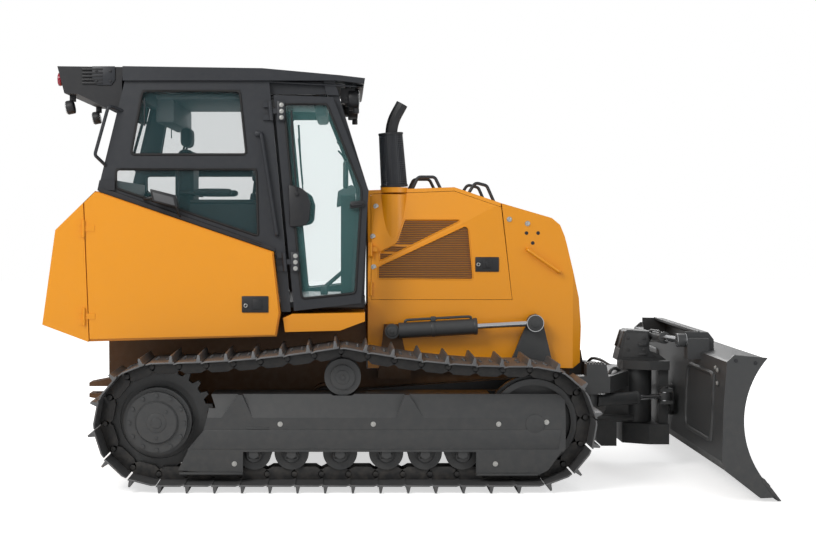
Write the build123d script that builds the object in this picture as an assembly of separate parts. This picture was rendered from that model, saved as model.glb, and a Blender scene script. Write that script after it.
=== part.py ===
from build123d import *
import os
from math import atan2, cos, degrees, hypot, pi, radians, sin, tan

# A crawler bulldozer with an angling, tilting blade.
# Millimetres; +X forward, +Y to the machine's left, +Z up; the ground is Z = 0.
# Everything is drawn with X = 0 on the sprocket axle and moved to the length's middle when it is written.

# ---- driving dimensions -------------------------------------------------------------------------
FRAME_HALF = 400            # half width of the main frame between the tracks
HOOD_HALF = 462
ARM_GAP = 22                # between the nose and a push arm, and between the arm and its track
ARM_WIDTH = 104
ARM_IN = HOOD_HALF + ARM_GAP
ARM_OUT = ARM_IN + ARM_WIDTH
SHOE_WIDTH = 560
TRACK_Y = ARM_OUT + ARM_GAP + SHOE_WIDTH / 2      # centre plane of a track
LINK_COUNT = 40             # links in one track
PIN_HEIGHT = 88             # track pins above the ground
SHOE_SEAT = 35              # pin line to the underside of a shoe
SHOE_PLATE = 10
RAIL_DEPTH = 47             # pin line to the rail that the rollers run on
RAIL_INNER = 30             # each rail's faces, from the track's centre plane
RAIL_OUTER = 74
SPROCKET_PATH = 341         # radius of the pin line round the sprocket
IDLER_PATH = 331
IDLER_X = 2368
CARRIER_X = 1163
CARRIER_Z = 706
CARRIER_R = 100
CARRIER_BEND = 16           # how far the pin line's bend stands above the links on the carrier roller
REAR_SAG = 24               # sag of the top run behind the carrier roller
FRONT_SAG = 36
ROLLER_X = (380, 605, 841, 1147, 1438, 1682, 1918)
ROLLER_Z = 228

CAB_HALF = 780              # half width of the cab at its foot
CAB_FOOT = 1130
CAB_LEAN = 2.3              # degrees that the cab sides lean in
CAB_WALL = 45
ROOF_FOOT = 2590            # top of the cab pillars
DOOR_GAP = 3
REAR_HALF = 825             # half width of the rear housing under its side doors
PANEL = 30                  # thickness of a side door of the housings

PIVOT = (1050, 500)         # C-frame trunnion, X and Z
LIFT_BASE = (1487, 964)
LIFT_EYE = (2428, 1017)
LIFT_Y = HOOD_HALF + 90
LIFT_BORE = 52
LIFT_ROD = 20
LIFT_EYE_HALF = 34
SWING_X = 3200              # upright axis that the blade angles about
ANGLE_BASE_X = 2800
ANGLE_BASE_Y = ARM_IN + 44
ANGLE_EYE_X = 3350
ANGLE_EYE_Y = 250
ANGLE_BORE = 42
ANGLE_ROD = 18
ANGLE_Z = 500
ANGLE_EYE_HALF = 48
TILT_AXIS_Z = 450           # fore-and-aft axis that the blade tilts about
TILT_X = 3350
TILT_BASE_Y = 190
TILT_BASE_Z = 872
TILT_EYE_Y = -740
TILT_EYE_Z = 918

BLADE_HALF = 1436
BLADE_FOOT = 6              # cutting edge above the ground
BLADE_FRONT = 3803
REAR_REACH = 754
ORIGIN_X = (BLADE_FRONT - REAR_REACH) / 2
RUN = 0.4                   # clearance between pieces that sit against each other

SPROCKET_Z = PIN_HEIGHT + SPROCKET_PATH
IDLER_Z = PIN_HEIGHT + IDLER_PATH
HOOD_REAR = 1330


# ---- helpers ------------------------------------------------------------------------------------
def block(x, y, z):
    """Box between the two ends given along each axis."""
    sizes = [abs(end[1] - end[0]) for end in (x, y, z)]
    middle = [(end[0] + end[1]) / 2 for end in (x, y, z)]
    return Pos(*middle) * Box(*sizes)


def side_slab(outline, y):
    """Prism of an X-Z outline between two Y values."""
    face = make_face(Polyline(*[(px, y[0], pz) for px, pz in outline], close=True))
    return extrude(face, amount=abs(y[1] - y[0]), dir=(0, 1 if y[1] > y[0] else -1, 0))


def plan_slab(outline, z):
    """Prism of an X-Y outline between two heights."""
    face = make_face(Polyline(*[(px, py, z[0]) for px, py in outline], close=True))
    return extrude(face, amount=z[1] - z[0], dir=(0, 0, 1))


def end_slab(outline, x):
    """Prism of a Y-Z outline between two X values."""
    face = make_face(Polyline(*[(x[0], py, pz) for py, pz in outline], close=True))
    return extrude(face, amount=x[1] - x[0], dir=(1, 0, 0))


def bar(start, end, radius):
    """Round bar from one point to another."""
    start, end = Vector(*start), Vector(*end)
    along = end - start
    upright = (Align.CENTER, Align.CENTER, Align.MIN)
    return Plane(origin=start, z_dir=along) * Cylinder(radius, along.length, align=upright)


def cross_bar(x, z, radius, y):
    return bar((x, y[0], z), (x, y[1], z), radius)


def drawn_in(outline, gap):
    """The outline with each corner moved towards the middle."""
    mid_x = sum(x for x, _ in outline) / len(outline)
    mid_z = sum(z for _, z in outline) / len(outline)
    moved = []
    for x, z in outline:
        reach = hypot(x - mid_x, z - mid_z)
        moved.append((x - (x - mid_x) * gap / reach, z - (z - mid_z) * gap / reach))
    return moved


def both(piece):
    return piece + mirror(piece, Plane.XZ)


def mirrored(piece):
    return mirror(piece, Plane.XZ)


def knuckles(point, along, radius, length):
    """One hinge on a line: the moving knuckle, and the fixed ones above and below it."""
    point, along = Vector(*point), Vector(*along).normalized()
    half = length / 2
    moving = bar(point - along * half, point + along * half, radius)
    fixed = bar(point - along * (half + RUN + length), point - along * (half + RUN), radius)
    fixed += bar(point + along * (half + RUN), point + along * (half + RUN + length), radius)
    return moving, fixed


def bent_tube(points, radius, bend):
    """Round tube along straight runs with equal bends."""
    path = FilletPolyline(*points, radius=bend)
    start = Plane(origin=path @ 0, z_dir=path % 0)
    return sweep(start * Circle(radius), path=path)


# ---- crawler tracks -----------------------------------------------------------------------------
def loop_path():
    """Close points along the pin line: bottom run, idler, top run over the carrier roller, sprocket."""
    def arc(cx, cz, radius, start, end):
        count = 60
        steps = [start + (end - start) * k / count for k in range(count)]
        return [(cx + radius * cos(a), cz + radius * sin(a)) for a in steps]

    def sagging(a, b, sag):
        count = 40
        return [(a[0] + (b[0] - a[0]) * k / count,
                 a[1] + (b[1] - a[1]) * k / count - 4 * sag * k / count * (1 - k / count))
                for k in range(count)]

    over_carrier = (CARRIER_X, CARRIER_Z + CARRIER_R + RAIL_DEPTH + CARRIER_BEND)
    idler_top, sprocket_top = (IDLER_X, IDLER_Z + IDLER_PATH), (0, SPROCKET_Z + SPROCKET_PATH)
    return ([(IDLER_X * k / 60, PIN_HEIGHT) for k in range(60)]
            + arc(IDLER_X, IDLER_Z, IDLER_PATH, -pi / 2, pi / 2)
            + sagging(idler_top, over_carrier, FRONT_SAG)
            + sagging(over_carrier, sprocket_top, REAR_SAG)
            + arc(0, SPROCKET_Z, SPROCKET_PATH, pi / 2, 3 * pi / 2))


def track_pins():
    """Evenly spaced pins along the loop."""
    path = loop_path()
    spans = [(a, b, hypot(b[0] - a[0], b[1] - a[1])) for a, b in zip(path, path[1:] + path[:1])]
    pitch = sum(span[2] for span in spans) / LINK_COUNT
    pins, walked = [], 0
    for a, b, length in spans:
        while len(pins) < LINK_COUNT and len(pins) * pitch <= walked + length:
            share = (len(pins) * pitch - walked) / length
            pins.append((a[0] + (b[0] - a[0]) * share, a[1] + (b[1] - a[1]) * share))
        walked += length
    return pins


def round_links(profile):
    """The profile (along, outward) repeated on every link, as one closed outline."""
    pins = track_pins()
    outline = []
    for a, b in zip(pins, pins[1:] + pins[:1]):
        length = hypot(b[0] - a[0], b[1] - a[1])
        ux, uz = (b[0] - a[0]) / length, (b[1] - a[1]) / length
        for along, out in profile:
            run = along * length
            outline.append((a[0] + ux * run + uz * out, a[1] + uz * run - ux * out))
    return outline


def track():
    """Right-hand track: shoes with one grouser each on two rails of links."""
    face = SHOE_SEAT + SHOE_PLATE
    shoe = [(0.03, face), (0.10, PIN_HEIGHT), (0.18, PIN_HEIGHT), (0.27, face), (0.97, face)]
    underside = [(0.06, SHOE_SEAT), (0.94, SHOE_SEAT)]
    rail = [(0.12, -RAIL_DEPTH), (0.88, -RAIL_DEPTH)]
    middle = -TRACK_Y
    shoes = (side_slab(round_links(shoe), (middle - SHOE_WIDTH / 2, middle + SHOE_WIDTH / 2))
             - side_slab(round_links(underside), (middle - SHOE_WIDTH, middle + SHOE_WIDTH)))
    rails = []
    for low, high in ((-RAIL_OUTER, -RAIL_INNER), (RAIL_INNER, RAIL_OUTER)):
        ring = (side_slab(round_links([(0.06, SHOE_SEAT + 1), (0.94, SHOE_SEAT + 1)]),
                          (middle + low, middle + high))
                - side_slab(round_links(rail), (middle - SHOE_WIDTH, middle + SHOE_WIDTH)))
        rails.append(ring)
    return shoes + rails[0] + rails[1]


SPROCKET_TEETH = 25
SPROCKET_TIP = SPROCKET_PATH + 8
SPROCKET_ROOT = SPROCKET_PATH - 32
HUB_R = 133
HUB_FACE = TRACK_Y + 195
DRIVE_R = 190
AXLE_SEAM = TRACK_Y - 34    # where the turning drum meets the axle housing


def sprocket():
    """Right-hand sprocket ring with its hub and cover."""
    step = 2 * pi / SPROCKET_TEETH
    points = []
    for tooth in range(SPROCKET_TEETH):
        for share, radius in ((-0.30, SPROCKET_ROOT), (-0.12, SPROCKET_TIP), (0.12, SPROCKET_TIP),
                              (0.30, SPROCKET_ROOT)):
            angle = (tooth + share) * step
            points.append((radius * cos(angle), SPROCKET_Z + radius * sin(angle)))
    rim = RAIL_INNER - 4
    ring = side_slab(points, (-TRACK_Y - rim, -TRACK_Y + rim))
    ring -= cross_bar(0, SPROCKET_Z, SPROCKET_ROOT - 60, (-TRACK_Y - rim - 1, -TRACK_Y + rim + 1))
    web = cross_bar(0, SPROCKET_Z, SPROCKET_ROOT - 59, (-TRACK_Y - 14, -TRACK_Y + 14))
    drum = cross_bar(0, SPROCKET_Z, 214, (-HUB_FACE + 70, -AXLE_SEAM))
    cover = cross_bar(0, SPROCKET_Z, 190, (-HUB_FACE + 20, -HUB_FACE + 72))
    cap = cross_bar(0, SPROCKET_Z, HUB_R, (-HUB_FACE, -HUB_FACE + 30))
    cap = chamfer(cap.edges().filter_by(GeomType.CIRCLE).group_by(Axis.Y)[0], 8)
    bolts = [cross_bar(172 * cos(k * pi / 6), SPROCKET_Z + 172 * sin(k * pi / 6), 11,
                       (-HUB_FACE + 8, -HUB_FACE + 21)) for k in range(12)]
    return ring + web + drum + cover + cap + bolts


IDLER_AXLE = 40
IDLER_TREAD = IDLER_PATH * cos(pi * 171.4 / 2 / pi / IDLER_PATH) - RAIL_DEPTH - RUN


def idler():
    """Right-hand idler wheel with a centre flange and a dished web."""
    half = RAIL_OUTER + 4
    tread = cross_bar(IDLER_X, IDLER_Z, IDLER_TREAD, (-TRACK_Y - half, -TRACK_Y + half))
    flange = cross_bar(IDLER_X, IDLER_Z, IDLER_TREAD + 18, (-TRACK_Y - RAIL_INNER + 4, -TRACK_Y
                                                            + RAIL_INNER - 4))
    dish = [cross_bar(IDLER_X, IDLER_Z, IDLER_TREAD - 36, (-TRACK_Y + side * 30, -TRACK_Y
                                                           + side * (half + 1)))
            for side in (-1, 1)]
    hub = cross_bar(IDLER_X, IDLER_Z, 92, (-TRACK_Y - half - 12, -TRACK_Y + half + 12))
    return tread + flange - dish + hub - cross_bar(IDLER_X, IDLER_Z, IDLER_AXLE + RUN,
                                                   (-FRAME_FACE, -FRAME_BACK + 28))


def roller(x, z, tread):
    """One double-flanged roller: revolved section on its own axle line."""
    rail, lip = RAIL_OUTER + 3, 16
    section = [(0, -rail - 26), (tread * 0.55, -rail - 26), (tread * 0.72, -rail - 16),
               (tread + lip, -rail - 14),
               (tread + lip, -rail), (tread, -rail), (tread, -RAIL_INNER), (tread - 32, -RAIL_INNER + 3),
               (tread - 32, RAIL_INNER - 3), (tread, RAIL_INNER), (tread, rail), (tread + lip, rail),
               (tread + lip, rail + 14), (tread * 0.72, rail + 16), (tread * 0.55, rail + 26),
               (0, rail + 26)]
    face = make_face(Polyline(*[(x + r, -TRACK_Y + w, z) for r, w in section], close=True))
    return revolve(face, axis=Axis((x, 0, z), (0, 1, 0)))


def rollers():
    """Right-hand rollers: seven under the track frame and the carrier roller above it."""
    tread = ROLLER_Z - PIN_HEIGHT - RAIL_DEPTH - RUN
    pieces = [roller(x, ROLLER_Z, tread) for x in ROLLER_X]
    return pieces + [roller(CARRIER_X, CARRIER_Z, CARRIER_R - RUN)]


FRAME_FACE = TRACK_Y + 166  # outer face of the track frame
FRAME_BACK = TRACK_Y - 162  # inner face
FRAME_TOP = 600
FRAME_FOLD = 458
FRAME_FOOT = 243
PLATE_REAR = [(339, FRAME_TOP), (314, FRAME_FOLD), (289, 374), (194, 261), (194, FRAME_FOOT)]


def track_frame():
    """Right-hand track frame: box beam over the rollers, side plate, rock guards and idler yoke."""
    beam = end_slab([(-FRAME_FACE, FRAME_FOOT), (-FRAME_FACE, FRAME_FOLD), (-FRAME_FACE + 60, FRAME_TOP),
                     (-FRAME_BACK - 32, FRAME_TOP), (-FRAME_BACK, 520), (-FRAME_BACK, 345),
                     (-FRAME_FACE + 24, 345),
                     (-FRAME_FACE + 24, FRAME_FOOT)], (100, 2560))
    nose = [(IDLER_X + 255 * sin(a), 412 + 235 * cos(a)) for a in [k * pi / 8 for k in range(1, 8)]]
    outline = PLATE_REAR + [(2494, FRAME_FOOT)] + nose[::-1][1:] + [(2330, FRAME_TOP)]
    beam &= side_slab(outline, (-FRAME_FACE - 1, -FRAME_BACK + 28))
    well = cross_bar(IDLER_X, IDLER_Z, IDLER_TREAD + 60, (-TRACK_Y - 100, -TRACK_Y + 100))
    well += block((IDLER_X, 2700), (-TRACK_Y - 100, -TRACK_Y + 100), (100, 760))
    axle = cross_bar(IDLER_X, IDLER_Z, IDLER_AXLE, (-FRAME_FACE + 1, -FRAME_BACK - 1))
    well += cross_bar(CARRIER_X, CARRIER_Z, CARRIER_R + 30, (-TRACK_Y - 110, -TRACK_Y + 106))
    well += cross_bar(0, SPROCKET_Z, SPROCKET_TIP + 26, (-FRAME_FACE + 24, -FRAME_BACK + 28))
    guards = []
    for outline in ([(131, 128), (538, 97), (539, FRAME_FOOT + 8), (194, FRAME_FOOT + 8)],
                    [(2000, 92), (2381, 92), (2451, 128), (2540, FRAME_FOOT + 8),
                     (2000, FRAME_FOOT + 8)]):
        guards.append(side_slab(outline, (-FRAME_FACE, -FRAME_FACE + 24)))
    gussets = []
    for left, apex, right in ((357, 521, 627), (1472, 1566, 1710)):
        gussets.append(side_slab([(left, 393), (right, 393), (apex + 14, FRAME_TOP),
                                  (apex - 14, FRAME_TOP)],
                                 (-FRAME_FACE, -FRAME_FACE + 62)))
    stand = block((CARRIER_X - 45, CARRIER_X + 45), (-FRAME_BACK - 54, -FRAME_BACK - 17),
                  (FRAME_TOP - 10, CARRIER_Z + 40))
    stand += cross_bar(CARRIER_X, CARRIER_Z, 36, (-TRACK_Y + RAIL_OUTER + 29 + RUN, -FRAME_BACK - 32))
    shafts = [cross_bar(x, ROLLER_Z, 30, (-FRAME_FACE + 12, -TRACK_Y - RAIL_OUTER
                                          - 30)) for x in ROLLER_X]
    seats = [block((x - 40, x + 40), (-TRACK_Y - RAIL_OUTER - 58, -TRACK_Y - RAIL_OUTER - 32),
                   (ROLLER_Z - 34, 350))
             for x in ROLLER_X]
    seats += [block((x - 40, x + 40), (-TRACK_Y + RAIL_OUTER + 32, -TRACK_Y + RAIL_OUTER + 58),
                    (ROLLER_Z - 34, 350))
              for x in ROLLER_X]
    return beam - well + axle + guards + gussets + stand + shafts + seats


# ---- main frame ---------------------------------------------------------------------------------
DECK_TOP = CAB_FOOT - RUN
SHAFT_X = 430
SHAFT_Z = 430
BAR_TOP = 335               # equaliser bar, under the lowered push arms
LIFT_PIN = 22


def main_frame():
    """Welded case between the tracks with axle housings, pivot shaft, equaliser bar and drawbar."""
    hull = side_slab([(-400, 470), (-300, 360), (2500, 360), (2680, 520), (2680, 700), (1320, 700),
                      (1320, DECK_TOP), (-326, DECK_TOP), (-326, 905), (-400, 900)],
                     (-FRAME_HALF, FRAME_HALF))
    axles = both(cross_bar(0, SPROCKET_Z, DRIVE_R, (-AXLE_SEAM + RUN, -FRAME_HALF + 1)))
    shaft = both(cross_bar(SHAFT_X, SHAFT_Z, 60, (-FRAME_BACK + RUN, -FRAME_HALF + 1)))
    equaliser = block((1640, 1760), (-FRAME_BACK + RUN, FRAME_BACK - RUN), (262, BAR_TOP))
    equaliser += block((1640, 1760), (-FRAME_HALF + 30, FRAME_HALF - 30), (BAR_TOP - 1, 361))
    trunnions = both(cross_bar(*PIVOT, 60, (-ARM_OUT - 14, -FRAME_HALF + 1)))
    trunnions += both(cross_bar(*PIVOT, 110, (-ARM_IN + 6, -FRAME_HALF + 1)))
    hitch = side_slab([(-590, 470), (-390, 430), (-390, 610), (-590, 570)], (-75, 75))
    hitch -= block((-600, -450), (-80, 80), (495, 545))
    hitch -= bar((-530, 0, 400), (-530, 0, 640), 25)
    bracket = lift_bracket()
    return [hull + axles + shaft + equaliser + trunnions + hitch, bracket, mirrored(bracket)]


def lift_bracket():
    """Right-hand bracket and pin for a lift cylinder, beside the nose and inside the push arm."""
    x, z = LIFT_BASE
    face = -HOOD_HALF - 16
    plate = side_slab([(x - 90, 640), (x + 130, 640), (x + 50, z + 40), (x - 50, z + 40)],
                      (face, -HOOD_HALF - RUN))
    foot = block((x - 90, x + 130), (face, -FRAME_HALF - RUN), (640, 700))
    boss = cross_bar(x, z, 44, (-LIFT_Y + LIFT_EYE_HALF + RUN, face + 1))
    pin = cross_bar(x, z, LIFT_PIN, (-LIFT_Y - LIFT_EYE_HALF - 8, face + 1))
    return plate + foot + boss + pin


def engine_block():
    return block((1420, 2350), (-270, 270), (700 + RUN, 1480))


# ---- housings -----------------------------------------------------------------------------------
REAR_OUTLINE = [(-412, 1879), (-667, 1631), (-754, 1027), (-462, 917), (740, 950), (765, 1100),
                (720, 1491)]
REAR_DOOR = [(-482, 1806), (-414, 1873), (713, 1487), (755, 1103), (731, 962), (-452, 935)]
REAR_HINGE = (-486, REAR_HALF + PANEL + 10)
REAR_HINGE_Z = (1080, 1640)


def rear_housing():
    """Yellow tank housing: full width behind the cab, two side boxes beside it."""
    body = side_slab(REAR_OUTLINE, (-REAR_HALF, REAR_HALF))
    body -= block((-330, 900), (-650, 650), (700, 2200))
    body += both(side_slab([(-412, 1879), (-667, 1631), (-754, 1027), (-462, 917), (-458, 935),
                            (-489, 1803)],
                           (-REAR_HALF - PANEL, -REAR_HALF + 1)))
    for z in REAR_HINGE_Z:
        fixed = knuckles((REAR_HINGE[0], -REAR_HINGE[1], z), (0, 0, 1), 9, 36)[1]
        leaf = block((REAR_HINGE[0] - 40, REAR_HINGE[0]), (-REAR_HALF - PANEL - 4, -REAR_HALF - PANEL
                                                           + 1), (z - 54, z + 54))
        leaf -= block((REAR_HINGE[0] - 41, REAR_HINGE[0] + 1),
                      (-REAR_HALF - PANEL - 5, -REAR_HALF - PANEL), (z - 18.4, z + 18.4))
        body += both(fixed + leaf)
    return body


def rear_door():
    """Right-hand side door of the rear housing."""
    leaf = side_slab(REAR_DOOR, (-REAR_HALF - PANEL, -REAR_HALF - 1))
    for z in REAR_HINGE_Z:
        leaf += knuckles((REAR_HINGE[0], -REAR_HINGE[1], z), (0, 0, 1), 9, 36)[0]
        leaf += block((REAR_HINGE[0], REAR_HINGE[0] + 70), (-REAR_HALF - PANEL - 4, -REAR_HALF - PANEL
                                                            - RUN), (z - 18, z + 18))
        leaf += block((REAR_HINGE[0] + 45, REAR_HINGE[0] + 70),
                      (-REAR_HALF - PANEL - 4, -REAR_HALF - PANEL + 1), (z - 18, z + 18))
    return leaf


HOOD_LINE = [(HOOD_REAR, 1893), (1906, 1913), (2211, 1807)]
NOSE_LINE = [(2217, 1805), (2549, 1708), (2604, 1662), (2634, 1590), (2650, 1532), (2735, 1177),
             (2751, 986),
             (2744, 745), (2693, 710)]
HOOD_SKIN = 25
NOSE_CORNER_X = 2690        # where the front corners start to turn in, clear of the angle cylinders
NOSE_CORNER_SLOPE = 0.6
HOOP = 20                   # depth of the hoop behind the engine side doors
DOOR_X = HOOD_REAR + HOOP + 3
ENGINE_HINGE = (DOOR_X - 2, HOOD_HALF + 10)
ENGINE_HINGE_Z = (1240, 1500)
SILL_Z = 1164               # seam under the side doors
SEAM_FOOT_X = 2290          # foot of the slanting seam between the side doors and the nose
CREASE = (1338, 1354)       # start of the fold that runs up the side doors
CREASE_RISE = 0.515         # height gained for each step forward along the fold
CREASE_LEAN = 0.2           # how far the side leans in above the fold, for each step up
STACK_X = 1508              # foot of the exhaust stack
STACK_Y = -343
STACK_TOP_X = 1483
STACK_FOOT = 1912
BULGE_R = 92                # shield on the side that the exhaust rises from
GUARD_TOP = 2276
SLAT_PITCH = 24


def folded_form(depth):
    """Space inside the hood's right side: upright, and leaning in above the fold."""
    space = block((HOOD_REAR - 50, SEAM_FOOT_X + 50), (-HOOD_HALF + depth, 0), (1100, 1960))
    outward = (-CREASE_LEAN * CREASE_RISE, -1, CREASE_LEAN)
    fold = Plane(origin=(CREASE[0], -HOOD_HALF, CREASE[1]), x_dir=(1, 0, CREASE_RISE), z_dir=outward)
    outside = fold.offset(-depth) * Box(4000, 4000, 400, align=(Align.CENTER, Align.CENTER, Align.MIN))
    return space - outside


def folded_layer(near, far):
    """Skin of the hood's right side between two depths."""
    return folded_form(near) - folded_form(far)


def hood_form():
    """The hood's outer form, from below its side doors to its top."""
    below = [(2213, SILL_Z), (HOOD_REAR, SILL_Z)]
    return side_slab(HOOD_LINE + below, (-HOOD_HALF, HOOD_HALF)) & both(folded_form(0))


def bulge(radius, z):
    return bar((STACK_X, STACK_Y, z[0]), (STACK_X, STACK_Y, z[1]), radius)


def hood_top():
    """Top sheet of the engine hood with the boss under the exhaust and the hoop behind the side doors."""
    under = [(x, z - HOOD_SKIN) for x, z in HOOD_LINE]
    top = side_slab(HOOD_LINE + under[::-1], (-HOOD_HALF, HOOD_HALF)) & hood_form()
    top += bulge(BULGE_R, (1878, STACK_FOOT))
    inner = HOOD_HALF - 150
    hoop = block((HOOD_REAR, HOOD_REAR + HOOP), (-HOOD_HALF, HOOD_HALF),
                 (SILL_Z + RUN, 1893)) & hood_form()
    hoop -= block((HOOD_REAR - 1, HOOD_REAR + HOOP + 1), (-inner, inner), (1100, 1869))
    top += hoop
    for z in ENGINE_HINGE_Z:
        fixed = knuckles((ENGINE_HINGE[0], -ENGINE_HINGE[1], z), (0, 0, 1), 9, 30)[1]
        leaf = block((HOOD_REAR + 2, ENGINE_HINGE[0]), (-HOOD_HALF - 4, -HOOD_HALF + 40),
                     (z - 45, z + 45))
        leaf -= block((HOOD_REAR + HOOP, ENGINE_HINGE[0] + 1), (-HOOD_HALF - 5, -HOOD_HALF + 41),
                      (z - 15.4, z + 15.4))
        leaf -= block((HOOD_REAR, ENGINE_HINGE[0] + 1), (-HOOD_HALF - 5, -HOOD_HALF),
                      (z - 15.4, z + 15.4))
        top += both(fixed + leaf)
    return top


def nose():
    """Front cowl with its lower sides, open behind, and a grab handle on each side."""
    outline = [(SEAM_FOOT_X, SILL_Z)] + NOSE_LINE + [(1330, 710), (1330, SILL_Z)]
    outer = side_slab(outline, (-HOOD_HALF, HOOD_HALF))
    front = [(x - HOOD_SKIN, z - HOOD_SKIN / 3) for x, z in NOSE_LINE[1:]]
    inner = side_slab([(2200, 1780)] + front + [(2660, 600), (1300, 600), (1300, 1300), (2200, 1300)],
                      (-HOOD_HALF + HOOD_SKIN, HOOD_HALF - HOOD_SKIN))
    window = block((2500, 2800), (-360, 360), (1140, 1530))
    rail = -HOOD_HALF - 40
    handle = bent_tube([(2385, -HOOD_HALF + 5, 1498), (2385, rail, 1498), (2600, rail, 1349),
                        (2600, -HOOD_HALF + 5, 1349)],
                       11, 18)
    corner = plan_slab([(NOSE_CORNER_X, -HOOD_HALF - 1), (2800, -HOOD_HALF - 1),
                        (2800, -HOOD_HALF - 1 + NOSE_CORNER_SLOPE * (2800 - NOSE_CORNER_X))], (600, 1900))
    return outer - inner - window - both(corner) + both(handle)


def grille_x(height):
    """Depth of the nose's front face at a height."""
    return 2650 + (1532 - height) * 85 / 355


def front_grille():
    """Radiator grille: frame and slats leaning with the nose."""
    def leaning_block(low, high, half, back, front):
        return side_slab([(grille_x(low) - back, low), (grille_x(low) - front, low),
                          (grille_x(high) - front, high),
                          (grille_x(high) - back, high)], (-half, half))
    frame = leaning_block(1140 + RUN, 1530 - RUN, 360 - RUN, 30, 6) - leaning_block(1166, 1504, 334, 40,
                                                                                    0)
    slats = [leaning_block(z, z + 8, 335, 28, 10) for z in range(1196, 1490, 34)]
    return frame + slats + leaning_block(1160, 1510, 8, 26, 12)


LOUVRES = ([(1408, 1478), (1496, 1526), (1524, 1553), (1576, 1699), (1940, 1699), (1934, 1684),
            (1408, 1421)],
           [(1399, 1386), (1399, 1304), (2024, 1300), (2027, 1322), (1996, 1641), (1973, 1655)])


def engine_door(shielded):
    """Right-hand engine side door: folded leaf with recessed louvres, and the exhaust's shield."""
    edge = [(x, z - HOOD_SKIN - DOOR_GAP) for x, z in HOOD_LINE]
    outline = [(DOOR_X, SILL_Z + DOOR_GAP), (SEAM_FOOT_X - DOOR_GAP, SILL_Z + DOOR_GAP),
               (2213, edge[2][1]), edge[1],
               (DOOR_X, edge[0][1] + 1)]
    leaf = folded_layer(0, HOOD_SKIN) & side_slab(outline, (-HOOD_HALF - 1, 0))
    fields = [side_slab(field, (-HOOD_HALF - 1, 0)) for field in LOUVRES]
    pocket = fields[0] + fields[1]
    slats = [block((1350, 2100), (-HOOD_HALF, 0), (z, z + 9)) for z in range(1306, 1690, SLAT_PITCH)]
    leaf -= pocket & folded_layer(-1, 14)
    leaf += (pocket & folded_layer(4, 15)) & slats
    if shielded:
        shield = bulge(BULGE_R, (1520, 1865)) - folded_form(HOOD_SKIN)
        leaf += shield - bulge(BULGE_R - 12, (1500, 1866))
    for z in ENGINE_HINGE_Z:
        leaf += knuckles((ENGINE_HINGE[0], -ENGINE_HINGE[1], z), (0, 0, 1), 9, 30)[0]
        strap = block((ENGINE_HINGE[0], DOOR_X + 40), (-HOOD_HALF - 4, -HOOD_HALF + 45), (z - 15, z + 15))
        leaf += strap - folded_form(5)
    return leaf


def exhaust():
    """Exhaust stack with a turned-forward mouth inside a tapered guard."""
    y = STACK_Y
    foot = STACK_FOOT + RUN
    stack = bent_tube([(STACK_X, y, foot), (STACK_TOP_X, y, 2330), (1560, y, 2470)], 42, 90)
    lean = (STACK_TOP_X - STACK_X, 0, GUARD_TOP - STACK_FOOT)
    base = Plane(origin=(STACK_X, y, foot), z_dir=lean)
    upright = (Align.CENTER, Align.CENTER, Align.MIN)
    guard = base * Cone(89, 80, GUARD_TOP - STACK_FOOT, align=upright)
    guard -= base.offset(8) * Cone(83, 74, GUARD_TOP - STACK_FOOT, align=upright)
    return stack + guard - block((1300, 1700), (-600, 0), (1800, foot))


# ---- cab ----------------------------------------------------------------------------------------
def leaning(outline, thickness, inset=0):
    """Right-hand cab wall piece: an X-Z outline leaned in with the cab side."""
    flat = side_slab(outline, (-CAB_HALF + inset, -CAB_HALF + inset + thickness))
    return flat.rotate(Axis((0, -CAB_HALF, CAB_FOOT), (1, 0, 0)), -CAB_LEAN)


UPPER_WINDOW = [(-126, ROOF_FOOT - 65), (501, ROOF_FOOT - 65), (544, 2117), (-198, 2117)]
LOWER_WINDOW = [(-294, 2021), (608, 2021), (620, 1592), (-295, 1900)]
DOOR_EDGE = [(718, ROOF_FOOT - 90), (1100, ROOF_FOOT - 104), (1330, 1887), (1281, 1161), (850, 1110)]
DOOR_GLASS = [(786, ROOF_FOOT - 150), (1062, ROOF_FOOT - 150), (1285, 1887), (1245, 1225), (901, 1190),
              (831, 1887)]
DOOR_HINGE_TOP = (700, ROOF_FOOT - 195)
DOOR_HINGE_FOOT = (790, 1426)
DOOR_HINGE_OUT = 20         # hinge line outside the door's face


def door_knuckles(x, z):
    """Hinge knuckles of the right-hand cab door at one end of its leaning hinge line."""
    def placed(px, pz):
        lean = radians(CAB_LEAN)
        return Vector(px, -CAB_HALF - DOOR_HINGE_OUT * cos(lean) + (pz - CAB_FOOT) * sin(lean), pz)
    line = placed(*DOOR_HINGE_TOP) - placed(*DOOR_HINGE_FOOT)
    return knuckles(placed(x, z), line, 14, 40)


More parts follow.
